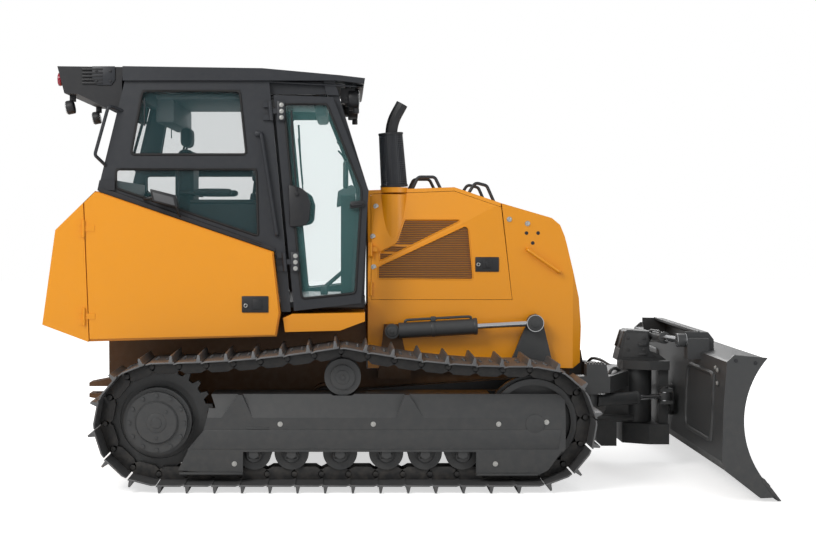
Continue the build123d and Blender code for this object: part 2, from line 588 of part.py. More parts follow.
def cab_frame():
    """Welded cab frame: floor, tub, pillars, sills and roof ring."""
    rear_wall = leaning([(-412, 1885), (-240, ROOF_FOOT), (690, ROOF_FOOT), (830, 1105), (770, 1105),
                         (727, 1493),
                         (600, 1535)], CAB_WALL)
    rear_wall -= leaning(UPPER_WINDOW, 80, -20)
    rear_wall -= leaning(LOWER_WINDOW, 80, -20)
    pillar = leaning([(1040, ROOF_FOOT), (1110, ROOF_FOOT), (1330, 1887), (1285, 1150), (1215, 1150),
                      (1260, 1887)],
                     CAB_WALL, CAB_WALL + DOOR_GAP)
    header = leaning([(600, ROOF_FOOT - 80), (600, ROOF_FOOT), (1110, ROOF_FOOT), (1140, ROOF_FOOT - 80)],
                     CAB_WALL, CAB_WALL + DOOR_GAP)
    side = rear_wall + pillar + header
    for x, z in (DOOR_HINGE_TOP, DOOR_HINGE_FOOT):
        side += door_knuckles(x, z)[1]
        plate = leaning([(x - 48, z - 58), (x, z - 58), (x, z + 58), (x - 48, z + 58)], 21, -20)
        side += plate - leaning([(x - 49, z - 24), (x + 20, z - 24), (x + 20, z + 24), (x - 49, z + 24)],
                                20.4, -20.4)
    sides = both(side)
    floor = block((-330, 1290), (-640, 640), (CAB_FOOT, CAB_FOOT + 35))
    floor += block((772, 1290), (-CAB_HALF + 50, CAB_HALF - 50), (CAB_FOOT, CAB_FOOT + 35))
    tub = both(block((-330, 760), (-645, -615), (CAB_FOOT, 1880)) & side_slab([(-340, 1100), (760, 1100),
                                                                               (760, 1490), (-340, 1866)],
                                                                              (-700, -600)))
    ledge = both(side_slab([(-405, 1905), (727, 1518), (727, 1493), (-405, 1880)], (-CAB_HALF + 2, -616)))
    back = block((-330, -300), (-640, 640), (CAB_FOOT, 1890))
    rear_sill = side_slab([(-412, 1885), (-300, 1885), (-300, 1950), (-398, 1950)],
                          (-CAB_HALF + 10, CAB_HALF - 10))
    rear_head = side_slab([(-258, ROOF_FOOT - 80), (-200, ROOF_FOOT - 80), (-182, ROOF_FOOT),
                           (-240, ROOF_FOOT)], (-CAB_HALF + 60, CAB_HALF - 60))
    front_head = side_slab([(1140, ROOF_FOOT - 90), (1060, ROOF_FOOT - 90), (1040, ROOF_FOOT),
                            (1110, ROOF_FOOT)], (-700, 700))
    firewall = side_slab([(1270, CAB_FOOT), (1305, CAB_FOOT), (1328, 1887), (1290, 1887)], (-480, 480))
    front_sill = side_slab([(1255, CAB_FOOT), (1305, CAB_FOOT), (1308, CAB_FOOT + 70),
                            (1260, CAB_FOOT + 70)], (-700, 700))
    return sides + floor + tub + ledge + back + rear_sill + rear_head + front_head + firewall + front_sill


def cab_glass():
    """Fixed panes: sides, back, windscreen and the two lower front corners."""
    upper = leaning(drawn_in(UPPER_WINDOW, 2), 6, 18)
    lower = leaning(drawn_in(LOWER_WINDOW, 2), 6, 18)
    back = side_slab([(-370, 1950.4), (-364, 1950.4), (-229, ROOF_FOOT - 80 - RUN),
                      (-235, ROOF_FOOT - 80 - RUN)], (-677, 677))
    screen = side_slab([(1306, 1887.4), (1313, 1887.4), (1110, ROOF_FOOT - 90 - RUN),
                        (1103, ROOF_FOOT - 90 - RUN)], (-630, 630))
    return [upper, mirrored(upper), lower, mirrored(lower), back, screen]


def cab_roof():
    top = ROOF_FOOT
    line = [(-250, top + RUN), (-250, top + 92), (646, top + 79), (1146, top + 34), (1307, top + 15),
            (1300, top - 20),
            (1120, top + RUN)]
    return side_slab(line, (-745, 745))


def air_unit():
    top = ROOF_FOOT
    return side_slab([(-679, top + 97), (-635, top - 77), (-548, top - 81), (-310, top - 200),
                      (-290, top - 190),
                      (-262, top - 70), (-262, top + 10), (-250 - RUN, top + 92)], (-690, 690))


def work_lamps():
    top = ROOF_FOOT
    lamps = [block((1150, 1240), (y - 75, y + 75), (top - 135, top - 40))
             + block((1180, 1210), (y - 20, y + 20), (top - 41, top + 10)) for y in (-545, 545)]
    return [lamp - cab_roof() for lamp in lamps]


LOOP_Y = 320                # grab loops on the hood, from the middle


def grab_rails():
    top = ROOF_FOOT
    rail = bent_tube([(-235, -700, top - 200), (-330, -810, top - 165), (-420, -810, 2110),
                      (-330, -700, 2010)], 11, 25)
    rail -= leaning([(-600, 1800), (-600, top + 10), (300, top + 10), (300, 1800)], 300, -RUN)
    loops = []
    for foot, rise, end in (((1619, 1880), (1669, 1983), (1831, 1880)),
                            ((1993, 1850), (2053, 1945), (2190, 1790))):
        far = end[0] - (rise[0] - foot[0])
        loop = bent_tube([(foot[0], -LOOP_Y, foot[1]), (rise[0], -LOOP_Y, rise[1]),
                          (far, -LOOP_Y, rise[1] - (foot[1] - end[1]) / 3),
                          (end[0], -LOOP_Y, end[1])], 11, 30)
        loop -= Pos(0, 0, RUN) * hood_form()
        loops += [loop, mirrored(loop)]
    return [rail, mirrored(rail)] + loops


def seat():
    cushion = block((120, 600), (-250, 250), (1560, 1680))
    back = block((20, 130), (-240, 240), (1640, 2300))
    base = block((160, 540), (-180, 180), (CAB_FOOT + 35 + RUN, 1561))
    return cushion + back + base


def consoles():
    dash = block((1150, 1250), (-260, 260), (CAB_FOOT + 35 + RUN, 1860))
    arm = block((150, 640), (320, 480), (CAB_FOOT + 35 + RUN, 1800))
    return [dash, arm, mirrored(arm)]


def cab_door():
    """Right-hand cab door frame with its hinge leaves."""
    leaf = leaning(DOOR_EDGE, CAB_WALL) - leaning(DOOR_GLASS, 80, -20)
    for x, z in (DOOR_HINGE_TOP, DOOR_HINGE_FOOT):
        leaf += door_knuckles(x, z)[0]
        leaf += leaning([(x, z - 16), (x + 75, z - 16), (x + 75, z + 16), (x, z + 16)], 20 - RUN, -20)
        leaf += leaning([(x + 40, z - 16), (x + 75, z - 16), (x + 75, z + 16), (x + 40, z + 16)], 21, -20)
    return leaf


def door_glass():
    return leaning(drawn_in(DOOR_GLASS, 2), 6, 18)


def platform():
    """Yellow fenders and rocker strips beside the cab foot."""
    strip = side_slab([(780, 1066), (793, 976), (1146, 985), (1306, 1045), (1306, 1100), (840, 1092)],
                      (-800, -FRAME_HALF - RUN))
    return both(strip)


# ---- blade gear ---------------------------------------------------------------------------------
MAST_HALF = 90
HEAD_FOOT = 150             # underside of the push frame's deep middle
EYE_FOOT = 300


def c_frame():
    """C-shaped push frame: two arms inside the tracks, joined in front of the nose by a deep box."""
    arm = side_slab([(PIVOT[0] - 70, 440), (PIVOT[0] + 60, 430), (2420, 528), (2500, 562), (2880, 572),
                     (2880, 668),
                     (2500, 668), (PIVOT[0] + 60, 570), (PIVOT[0] - 70, 560)], (-ARM_OUT, -ARM_IN))
    arm += cross_bar(*PIVOT, 95, (-ARM_OUT, -ARM_IN))
    arm -= cross_bar(*PIVOT, 60 + RUN, (-ARM_OUT - 5, -ARM_IN + 5))
    bracket = side_slab([(2277, 640), (2547, 660), (2547, 765), (2480, 1040), (2440, 1075), (2400, 1060),
                         (2277, 765)],
                        (-LIFT_Y + 32 + RUN, -ARM_IN))
    step = side_slab([(2765, 660), (2910, 660), (2895, 748), (2765, 748)], (-ARM_OUT, -ARM_IN))
    head = plan_slab([(2800, ARM_OUT), (2920, ARM_OUT), (3110, 210), (3110, 90), (2960, 90), (2960, 290),
                      (2900, ARM_IN),
                      (2800, ARM_IN)], (560, 668))
    middle = block((2960, 3110), (-200, 200), (EYE_FOOT + 60, 668))
    middle += side_slab([(2891, 300), (2896, 192), (2930, HEAD_FOOT), (3035, HEAD_FOOT), (3035, 560),
                         (2960, 560),
                         (2960, 400)], (-200, 200))
    eye = bar((SWING_X, 0, EYE_FOOT), (SWING_X, 0, 668), 110) - bar((SWING_X, 0, 240), (SWING_X, 0, 700),
                                                                    50 + RUN)
    eye += block((3030, SWING_X - 60), (-90, 90), (EYE_FOOT, 668)) - bar((SWING_X, 0, 240),
                                                                         (SWING_X, 0, 700), 50 + RUN)
    base_x, base_y, clear = ANGLE_BASE_X, ANGLE_BASE_Y, ANGLE_EYE_HALF + RUN
    lug = block((base_x - 120, base_x - 60), (-ARM_OUT, -ARM_IN), (425, 560))
    lug += block((base_x - 110, base_x + 40), (-ARM_OUT, -ARM_IN), (425, ANGLE_Z - clear))
    lug += block((base_x - 110, base_x + 40), (-ARM_OUT, -ARM_IN), (ANGLE_Z + clear, 570))
    lug += bar((base_x, -base_y, 430), (base_x, -base_y, 565), 20)
    return both(arm + bracket + step + lug) + head + mirrored(head) + middle + eye


def blade_tower():
    """Angling tower on the king pin: mast, tilt stub and wings for the angle cylinders."""
    plan = [(3090, -110), (3090, 110), (3260, 200), (3395, 200), (3395, -200), (3260, -200)]
    pin = bar((SWING_X, 0, 200), (SWING_X, 0, 720), 50)
    low = plan_slab(plan, (HEAD_FOOT + 10, EYE_FOOT - 2))
    top = plan_slab(plan, (670, 730))
    front = block((3330, 3395), (-160, 160), (HEAD_FOOT + 10, 730))
    reach = ANGLE_EYE_Y + 50
    wings = [block((3310, 3395), (-reach, reach), heights) - block((3300, 3329), (-200, 200), (400, 600))
             for heights in ((ANGLE_Z - 52, ANGLE_Z - 30 - RUN), (ANGLE_Z + 30 + RUN, ANGLE_Z + 52))]
    pins = both(bar((ANGLE_EYE_X, -ANGLE_EYE_Y, ANGLE_Z - 62),
                    (ANGLE_EYE_X, -ANGLE_EYE_Y, ANGLE_Z - 30 - RUN), 24))
    pins += both(bar((ANGLE_EYE_X, -ANGLE_EYE_Y, ANGLE_Z + 30 + RUN),
                     (ANGLE_EYE_X, -ANGLE_EYE_Y, ANGLE_Z + 62), 24))
    mast = side_slab([(3105, 922), (3124, 937), (3265, 927), (3280, 790), (3340, 770), (3395, 729),
                      (3054, 729), (3072, 803), (3082, 822)], (-MAST_HALF, MAST_HALF))
    lug = block((TILT_X - 62, TILT_X - 42), (60, TILT_BASE_Y + 50), (729, TILT_BASE_Z + 44))
    lug += bar((TILT_X - 43, TILT_BASE_Y, TILT_BASE_Z), (TILT_X - 32 - RUN, TILT_BASE_Y, TILT_BASE_Z), 38)
    stub = bar((3390, 0, TILT_AXIS_Z), (3500, 0, TILT_AXIS_Z), 55)
    return pin + low + top + front + wings + pins + mast + lug + stub


LIFT_ROD_END = 205          # rods' inner ends, along the cylinder at rest: room for the stroke
ANGLE_ROD_END = 195
TILT_ROD_END = 150


def cylinder_pair(base, eye, across, bore, rod, split):
    """Barrel and rod along a line in the X-Z plane (across = Y), split = barrel length."""
    dx, dz = eye[0] - base[0], eye[1] - base[1]
    length = hypot(dx, dz)
    ux, uz = dx / length, dz / length
    at = lambda s: (base[0] + ux * s, across, base[1] + uz * s)
    barrel = bar(at(46), at(split), bore) - bar(at(70), at(split + 1), rod + RUN)
    barrel += cross_bar(*base, 48, (across - LIFT_EYE_HALF, across + LIFT_EYE_HALF))
    barrel -= cross_bar(*base, LIFT_PIN + RUN, (across - 50, across + 50))
    shaft = bar(at(LIFT_ROD_END), at(length - 30), rod)
    end = cross_bar(*eye, 56, (across - 36, across + 32))
    return barrel, shaft + end


FACE_X, FACE_Z, FACE_R = 4160, 491, 593      # axis and radius of the blade's curved face
SHEET = 22


def face_x(height, radius):
    return FACE_X - (radius ** 2 - (height - FACE_Z) ** 2) ** 0.5


def curved_slab(radius, top, foot, behind, y):
    """Slab whose front edge is the blade's arc at a radius, closed by points behind it."""
    arc = ThreePointArc((face_x(top, radius), y[0], top), (FACE_X - radius, y[0], FACE_Z),
                        (face_x(foot, radius), y[0], foot))
    back = Polyline(*[(px, y[0], pz) for px, pz in [(face_x(foot, radius), foot)] + behind
                      + [(face_x(top, radius), top)]])
    return extrude(make_face([*arc.edges(), *back.edges()]), amount=y[1] - y[0], dir=(0, 1, 0))


EDGE_TOP = (3700, 140)
EDGE_THICK = 18
TOP_EDGE = 866              # top of the curved sheet
SHEET_FOOT = 145


def behind_edge(offset, along):
    """Point at a distance behind the cutting edge's front face and along it from its top."""
    run, drop = BLADE_FRONT - EDGE_TOP[0], EDGE_TOP[1] - BLADE_FOOT
    length = hypot(run, drop)
    return (EDGE_TOP[0] + (run * along - drop * offset) / length, EDGE_TOP[1]
            - (drop * along + run * offset) / length)


CREST_HALF = 700            # half width of the guard above the middle of the blade
BLADE_BACK = [(3444, 241), (3450, 567), (3468, 844)]


def blade():
    """Curved box blade with end plates, a guard above its middle, and the tower's and tilt cylinder's bosses."""
    width = (-BLADE_HALF + 5, BLADE_HALF - 5)
    edge_back = EDGE_THICK + RUN
    body = curved_slab(FACE_R, TOP_EDGE, SHEET_FOOT, [(3653, 140), (3560, 124)] + BLADE_BACK
                       + [(3485, 850)], width)
    foot = side_slab([(3677, 152), behind_edge(edge_back, 0), behind_edge(edge_back, 100),
                      behind_edge(edge_back + 22, 100),
                      (3648, 140), (3653, 152)], width)
    end_back = [behind_edge(edge_back, 0), behind_edge(edge_back, 130), (3678, 22),
                (3466, 186)] + BLADE_BACK + [(3514, 886)]
    end = curved_slab(FACE_R - 8, TOP_EDGE + 2, 152, end_back, (-BLADE_HALF, -BLADE_HALF + SHEET))
    gusset = side_slab([(3402, 845), (3384, 929), (3383, 970), (3534, 967), (3570, 920), (3571, 856),
                        (3480, 845)],
                       (-CREST_HALF, -CREST_HALF + 16))
    crest = side_slab([(3571, 856), (3570, 920), (3534, 967), (3470, 968), (3470, 956), (3528, 954),
                       (3556, 916), (3556, 854)],
                      (-CREST_HALF, CREST_HALF))
    boss = bar((3420, 0, TILT_AXIS_Z), (3500, 0, TILT_AXIS_Z), 110)
    bore = bar((3380, 0, TILT_AXIS_Z), (3505, 0, TILT_AXIS_Z), 55 + RUN)
    lug = block((TILT_X + 30 + RUN, 3520), (TILT_EYE_Y - 45, TILT_EYE_Y + 45), (800, TILT_EYE_Z + 14))
    return body + foot + both(end) + both(gusset) + crest + boss + lug - bore


def cutting_edge():
    """Bevelled plate across the foot of the blade."""
    drop = EDGE_TOP[1] - BLADE_FOOT
    level = EDGE_THICK * hypot(BLADE_FRONT - EDGE_TOP[0], drop) / drop
    return side_slab([EDGE_TOP, (BLADE_FRONT, BLADE_FOOT), (BLADE_FRONT - level, BLADE_FOOT),
                      behind_edge(EDGE_THICK, 0)],
                     (-BLADE_HALF - 4, BLADE_HALF + 4))


def angle_cylinder():
    """Right-hand angle cylinder: barrel under the push arm, rod towards the tower's wing."""
    base, eye = Vector(ANGLE_BASE_X, -ANGLE_BASE_Y, ANGLE_Z), Vector(ANGLE_EYE_X, -ANGLE_EYE_Y, ANGLE_Z)
    along = (eye - base).normalized()
    length = (eye - base).length
    at = lambda s: base + along * s
    barrel = bar(at(40), at(380), ANGLE_BORE) - bar(at(60), at(381), ANGLE_ROD + RUN)
    barrel += bar(base - Vector(0, 0, ANGLE_EYE_HALF), base + Vector(0, 0, ANGLE_EYE_HALF), 44)
    barrel -= bar(base - Vector(0, 0, 60), base + Vector(0, 0, 60), 20 + RUN)
    rod = bar(at(ANGLE_ROD_END), at(length - 30), ANGLE_ROD)
    rod += bar(eye - Vector(0, 0, 30), eye + Vector(0, 0, 30), 46)
    return barrel, rod


def tilt_cylinder():
    """Tilt cylinder behind the blade's top: barrel on the mast, rod up to the lug on the right."""
    base, eye = Vector(TILT_X, TILT_BASE_Y, TILT_BASE_Z), Vector(TILT_X, TILT_EYE_Y, TILT_EYE_Z)
    along = (eye - base).normalized()
    length = (eye - base).length
    at = lambda s: base + along * s
    barrel = bar(at(40), at(420), 38) - bar(at(60), at(421), 22 + RUN)
    barrel += bar(base - Vector(32, 0, 0), base + Vector(32, 0, 0), 42)
    rod = bar(at(TILT_ROD_END), at(length - 30), 22) + bar(eye - Vector(30, 0, 0), eye + Vector(30, 0, 0),
                                                           42)
    return barrel, rod


def gather():
    """Every node of the machine with its shape."""
    nodes = {}

    def pair(name, shape):
        nodes[name + "_right"] = shape
        nodes[name + "_left"] = [mirrored(s) for s in shape] if isinstance(shape,
                                                                           list) else mirrored(shape)

    def shared(name, shape):
        shapes = shape if isinstance(shape, list) else [shape]
        nodes[name] = shapes + [mirrored(s) for s in shapes]

    pair("track", track())
    shared("sprockets", sprocket())
    shared("idlers", idler())
    shared("rollers", rollers())
    pair("track_frame", track_frame())
    nodes["main_frame"] = main_frame()
    nodes["engine_block"] = engine_block()
    nodes["rear_housing"] = rear_housing()
    pair("rear_door", rear_door())
    nodes["hood_top"] = hood_top()
    nodes["nose"] = nose()
    nodes["front_grille"] = front_grille()
    nodes["engine_door_right"] = engine_door(True)
    nodes["engine_door_left"] = mirrored(engine_door(False))
    nodes["exhaust"] = exhaust()
    nodes["cab_frame"] = cab_frame()
    nodes["cab_glass"] = cab_glass()
    nodes["cab_roof"] = cab_roof()
    nodes["air_unit"] = air_unit()
    nodes["work_lamps"] = work_lamps()
    nodes["grab_rails"] = grab_rails()
    nodes["seat"] = seat()
    nodes["consoles"] = consoles()
    pair("cab_door", cab_door())
    pair("door_glass", door_glass())
    nodes["platform"] = platform()
    nodes["c_frame"] = c_frame()
    lift_barrel, lift_rod = cylinder_pair(LIFT_BASE, LIFT_EYE, -LIFT_Y, LIFT_BORE, LIFT_ROD, 560)
    pair("lift_barrel", lift_barrel)
    pair("lift_rod", lift_rod)
    nodes["blade_tower"] = blade_tower()
    angle_barrel, angle_rod = angle_cylinder()
    pair("angle_barrel", angle_barrel)
    pair("angle_rod", angle_rod)
    nodes["tilt_barrel"], nodes["tilt_rod"] = tilt_cylinder()
    nodes["blade"] = blade()
    nodes["cutting_edge"] = cutting_edge()
    return nodes


def write(nodes):
    os.makedirs("parts", exist_ok=True)
    for name, shape in nodes.items():
        shapes = shape if isinstance(shape, list) else [shape]
        solids = [solid for piece in shapes for solid in piece.solids()]
        export_step(Pos(-ORIGIN_X, 0, 0) * Compound(children=solids), f"parts/{name}.step")


write(gather())
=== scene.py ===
# %% [markdown]
# # A crawler bulldozer, dressed piece by piece
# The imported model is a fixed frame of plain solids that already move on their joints. This lesson
# gives each solid its finish and adds the small pieces that a real machine carries: track links,
# bolts, louvres, glass seals, lamps, a seat and controls. Every new piece is modelled by operators,
# as one would with the mouse, because that keeps each step short enough to read and to try again.

from math import atan, atan2, cos, hypot, pi, radians, sin

import bpy
from mathutils import Matrix, Vector


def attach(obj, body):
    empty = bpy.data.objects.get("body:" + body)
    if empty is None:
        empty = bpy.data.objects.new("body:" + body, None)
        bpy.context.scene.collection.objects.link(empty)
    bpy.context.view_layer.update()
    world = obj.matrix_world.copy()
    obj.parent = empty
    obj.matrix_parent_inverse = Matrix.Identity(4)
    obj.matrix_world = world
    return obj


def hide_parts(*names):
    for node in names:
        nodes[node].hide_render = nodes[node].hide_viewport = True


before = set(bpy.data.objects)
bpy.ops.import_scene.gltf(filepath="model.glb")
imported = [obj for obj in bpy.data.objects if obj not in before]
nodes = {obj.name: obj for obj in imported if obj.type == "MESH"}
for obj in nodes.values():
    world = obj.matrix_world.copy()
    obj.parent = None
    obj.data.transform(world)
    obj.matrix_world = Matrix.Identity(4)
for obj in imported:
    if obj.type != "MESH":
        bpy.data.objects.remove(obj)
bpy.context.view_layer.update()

# %% [markdown]
# The machine's drawings measure in millimetres, forward from the sprocket axle. The frame measures
# in metres from the middle of the length. One small function turns the first into the second, so
# every size below can be read off a drawing.

# %% From drawing to frame
SPROCKET_AXLE = -1524.5      # forward of the frame's origin
SPROCKET_Z = 429            # height of the sprocket axle


def drawn(x, y, z):
    """Point in the frame, from millimetres forward of the sprocket axle, to the left and up."""
    return Vector((x + SPROCKET_AXLE, y, z)) / 1000


print("sprocket axle at", tuple(round(v, 4) for v in drawn(0, 0, SPROCKET_Z)))

# %% [markdown]
# ## Camera and studio
# The machine is seen square from its right side, from ten metres away at about head height. A long
# lens keeps the proportions calm. The lens is shifted sideways because the picture is centred on
# the whole machine while the camera stands level with the back of the engine hood.

# %% Camera
CAMERA_PLACE = (-0.3465, -10.37, 1.7075)
PICTURE_WIDTH, FOCAL_LENGTH = 816, 1494     # in one unit, as only their ratio matters
TILT_DOWN, SIDE_SHIFT = 50, 63              # in the same unit
SENSOR_WIDTH = 36

bpy.ops.object.select_all(action="DESELECT")
camera_pitch = atan(TILT_DOWN / FOCAL_LENGTH)
bpy.ops.object.camera_add(location=CAMERA_PLACE, rotation=(pi / 2 - camera_pitch, 0, 0))
camera = bpy.context.object
camera.name = "studio_camera"
camera.data.sensor_width = SENSOR_WIDTH
camera.data.lens = SENSOR_WIDTH * FOCAL_LENGTH / PICTURE_WIDTH
camera.data.shift_x = SIDE_SHIFT / PICTURE_WIDTH
bpy.context.scene.camera = camera
print("camera lens in millimetres:", round(camera.data.lens, 1))

# %% [markdown]
# A white floor that glows a little where the camera sees it melts into the white behind it, as a
# paper backdrop does. The sky is white to the camera but dimmer to the machine, so that dark paint
# stays dark. A large key lamp stands behind the machine's shoulder, so the front falls into shade.

# %% Floor, lamps and sky
SKY_GLOW = 0.5              # strength of the sky for all but the camera
FLOOR_GLOW = 0.62           # light that the floor adds where the camera sees it
FLOOR_SIZE = 60
LAMPS = [("key_lamp", (-6, -8, 8.0), (-0.3, 0, 1.0), 4.5, 640, (1.0, 0.985, 0.96)),
         ("fill_lamp", (7, -7, 3.5), (0.8, 0, 0.8), 5.0, 110, (0.97, 0.985, 1.0)),
         ("back_lamp", (1, 8, 6), (0, 0, 1.2), 6.0, 380, (1, 1, 1))]

bpy.ops.mesh.primitive_plane_add(size=FLOOR_SIZE, location=(0, 0, -0.0005))
floor = bpy.context.object
floor.name = "studio_floor"
paper = bpy.data.materials.new("studio_paper")
paper.use_nodes = True
tree = paper.node_tree
shade = tree.nodes["Principled BSDF"]
for title, value in (("Base Color", (0.85, 0.85, 0.85, 1)), ("Roughness", 0.9), ("Specular IOR Level", 0.0),
                     ("Emission Color", (1, 1, 1, 1))):
    shade.inputs[title].default_value = value
seen = tree.nodes.new("ShaderNodeLightPath")
glow = tree.nodes.new("ShaderNodeMath")
glow.operation = "MULTIPLY"
tree.links.new(seen.outputs["Is Camera Ray"], glow.inputs[0])
glow.inputs[1].default_value = FLOOR_GLOW
tree.links.new(glow.outputs[0], shade.inputs["Emission Strength"])
floor.data.materials.append(paper)


def soft_lamp(name, place, aim, size, power, color):
    """Square lamp at a place, turned towards its aim."""
    bpy.ops.object.light_add(type="AREA", location=place)
    light = bpy.context.object
    light.name = name
    light.data.shape = "SQUARE"
    light.data.size = size
    light.data.energy = power
    light.data.color = color
    light.rotation_euler = (Vector(aim) - Vector(place)).to_track_quat("-Z", "Y").to_euler()


for values in LAMPS:
    soft_lamp(*values)

sky = bpy.data.worlds.new("studio_sky")
sky.use_nodes = True
tree = sky.node_tree
backdrop = tree.nodes["Background"]
backdrop.inputs["Color"].default_value = (1, 1, 1, 1)
seen = tree.nodes.new("ShaderNodeLightPath")
level = tree.nodes.new("ShaderNodeMapRange")
level.inputs["To Min"].default_value = SKY_GLOW
level.inputs["To Max"].default_value = 1.0
tree.links.new(seen.outputs["Is Camera Ray"], level.inputs["Value"])
tree.links.new(level.outputs["Result"], backdrop.inputs["Strength"])
bpy.context.scene.world = sky
bpy.context.scene.view_settings.view_transform = "Standard"
print("studio lamps:", len(LAMPS))

# %% [markdown]
# ## Finishes
# Real paint, castings and plastic are never one flat colour. One node group, placed in every
# material with its own numbers, brings the faint cloudiness of sprayed paint, a little dust that
# settles low down and on ledges, and the fine grain that catches the light. It reads Object
# coordinates, which are the frame's own metres, so patterns keep their real size on every piece.

# %% The shared surface group
def node_adder(tree):
    """Short way to add a node, set its values and feed its inputs."""
    def add(kind, feeds=(), **values):
        node = tree.nodes.new(kind)
        for key, value in values.items():
            setattr(node, key, value)
        for socket, source in dict(feeds).items():
            if isinstance(source, bpy.types.NodeSocket):
                tree.links.new(source, node.inputs[socket])
            else:
                node.inputs[socket].default_value = source
        return node
    return add


def surface_group():
    """Colour with soft clouds and settled dust, and the roughness and grain that go with it."""
    group = bpy.data.node_groups.new("weathered_surface", "ShaderNodeTree")
    plain, tint = "NodeSocketFloat", "NodeSocketColor"
    for title, kind, value in (("Color", tint, (0.5, 0.5, 0.5, 1)), ("Dust Color", tint, (0.36, 0.31, 0.25, 1)),
                               ("Cloud", plain, 0.06), ("Dust", plain, 0.1), ("Roughness", plain, 0.4),
                               ("Grain Size", plain, 900.0), ("Grain", plain, 0.2)):
        socket = group.interface.new_socket(name=title, in_out="INPUT", socket_type=kind)
        socket.default_value = value
    for title, kind in (("Color", tint), ("Roughness", plain), ("Height", plain)):
        group.interface.new_socket(name=title, in_out="OUTPUT", socket_type=kind)
    add = node_adder(group)
    given = add("NodeGroupInput").outputs
    place = add("ShaderNodeTexCoord").outputs["Object"]

    def noise(scale, detail):
        return add("ShaderNodeTexNoise", {"Vector": place, "Scale": scale, "Detail": detail}).outputs["Fac"]

    def combined(operation, a, b, clamp=False):
        return add("ShaderNodeMath", {0: a, 1: b}, operation=operation, use_clamp=clamp).outputs[0]

    cloud, streak, grain = noise(1.7, 5.0), noise(23.0, 6.0), noise(given["Grain Size"], 2.0)
    swing = combined("MULTIPLY", combined("SUBTRACT", cloud, 0.5), given["Cloud"])
    tinted = add("ShaderNodeHueSaturation", {"Value": combined("ADD", swing, 1.0), "Color": given["Color"]})
    height = add("ShaderNodeSeparateXYZ", {0: place}).outputs["Z"]
    low = add("ShaderNodeMapRange", {"Value": height, "From Min": 0.0, "From Max": 0.9,
                                     "To Min": 1.0, "To Max": 0.25}).outputs["Result"]
    patchy = add("ShaderNodeMapRange", {"Value": streak, "From Min": 0.38, "From Max": 0.72})
    dusty = combined("MULTIPLY", patchy.outputs["Result"], low)
    amount = combined("MULTIPLY", dusty, given["Dust"], clamp=True)
    mix = add("ShaderNodeMix", data_type="RGBA")
    group.links.new(amount, mix.inputs[0])
    group.links.new(tinted.outputs["Color"], mix.inputs[6])
    group.links.new(given["Dust Color"], mix.inputs[7])
    rougher = combined("MULTIPLY", amount, 0.5)
    rough = combined("ADD", combined("ADD", swing, given["Roughness"]), rougher, clamp=True)
    out = add("NodeGroupOutput")
    group.links.new(mix.outputs[2], out.inputs["Color"])
    group.links.new(rough, out.inputs["Roughness"])
    group.links.new(combined("MULTIPLY", grain, given["Grain"]), out.inputs["Height"])
    return group


SURFACE = surface_group()

# %% [markdown]
# A finish is then one line: its colour, how rough it is, how much it clouds, dusts and grains, and
# the plain numbers that belong to the shader itself, such as metal, clear coat or transmission.

# %% Making a finish
def finish(name, color, rough, cloud, dust, grain_size, grain, relief, **plain):
    """Material with the shared surface; relief is the height of its grain in metres."""
    material = bpy.data.materials.new(name)
    material.use_nodes = True
    tree = material.node_tree
    shader = tree.nodes["Principled BSDF"]
    add = node_adder(tree)
    surface = add("ShaderNodeGroup", node_tree=SURFACE)
    for title, value in (("Color", (*color, 1)), ("Cloud", cloud), ("Dust", dust), ("Roughness", rough),
                         ("Grain Size", grain_size), ("Grain", grain)):
        surface.inputs[title].default_value = value
    tree.links.new(surface.outputs["Color"], shader.inputs["Base Color"])
    tree.links.new(surface.outputs["Roughness"], shader.inputs["Roughness"])
    bump = add("ShaderNodeBump", {"Height": surface.outputs["Height"], "Distance": relief, "Strength": 1.0})
    tree.links.new(bump.outputs["Normal"], shader.inputs["Normal"])
    for title, value in plain.items():
        shader.inputs[title.replace("_", " ")].default_value = value
    return material


YELLOW = finish("sprayed_yellow", (0.84, 0.315, 0.004), 0.36, 0.05, 0.05, 260.0, 0.3, 0.00015,
                Coat_Weight=0.25, Coat_Roughness=0.15)
CHARCOAL = finish("sprayed_charcoal", (0.021, 0.024, 0.030), 0.42, 0.12, 0.06, 420.0, 0.4, 0.0002)
CHASSIS_GREY = finish("chassis_grey", (0.047, 0.049, 0.051), 0.42, 0.06, 0.05, 420.0, 0.4, 0.0003)
SHOE_STEEL = finish("shoe_steel", (0.15, 0.152, 0.157), 0.48, 0.35, 0.10, 60.0, 1.0, 0.0009, Metallic=0.7)
# The main frame is yellow like the body, but it sits in shade behind the tracks: its dark brown is a painted
# shade.
PAINTED_SHADE_FRAME = finish("painted_shade_frame", (0.115, 0.048, 0.010), 0.5, 0.3, 0.2, 200.0, 0.5, 0.0003)
LINK_STEEL = finish("link_steel", (0.03, 0.03, 0.031), 0.42, 0.3, 0.12, 90.0, 1.0, 0.0008, Metallic=0.3)
EDGE_STEEL = finish("edge_steel", (0.07, 0.072, 0.075), 0.45, 0.3, 0.2, 80.0, 0.8, 0.0006, Metallic=0.6)
IRON = finish("engine_iron", (0.05, 0.05, 0.05), 0.6, 0.3, 0.2, 120.0, 1.0, 0.0008, Metallic=0.4)
CHROME = finish("chromed_rod", (0.72, 0.73, 0.75), 0.13, 0.03, 0.02, 700.0, 0.1, 0.00005, Metallic=1.0)
ZINC = finish("zinc_bolts", (0.55, 0.55, 0.53), 0.32, 0.1, 0.05, 600.0, 0.3, 0.0001, Metallic=0.9)
BLACK_PLASTIC = finish("black_plastic", (0.013, 0.014, 0.017), 0.5, 0.08, 0.05, 700.0, 0.8, 0.00015)
RUBBER = finish("black_rubber", (0.010, 0.010, 0.011), 0.65, 0.08, 0.05, 500.0, 0.5, 0.0001)
BRONZE = finish("bronze_louvres", (0.20, 0.095, 0.04), 0.5, 0.25, 0.1, 300.0, 0.4, 0.0002, Metallic=0.25)
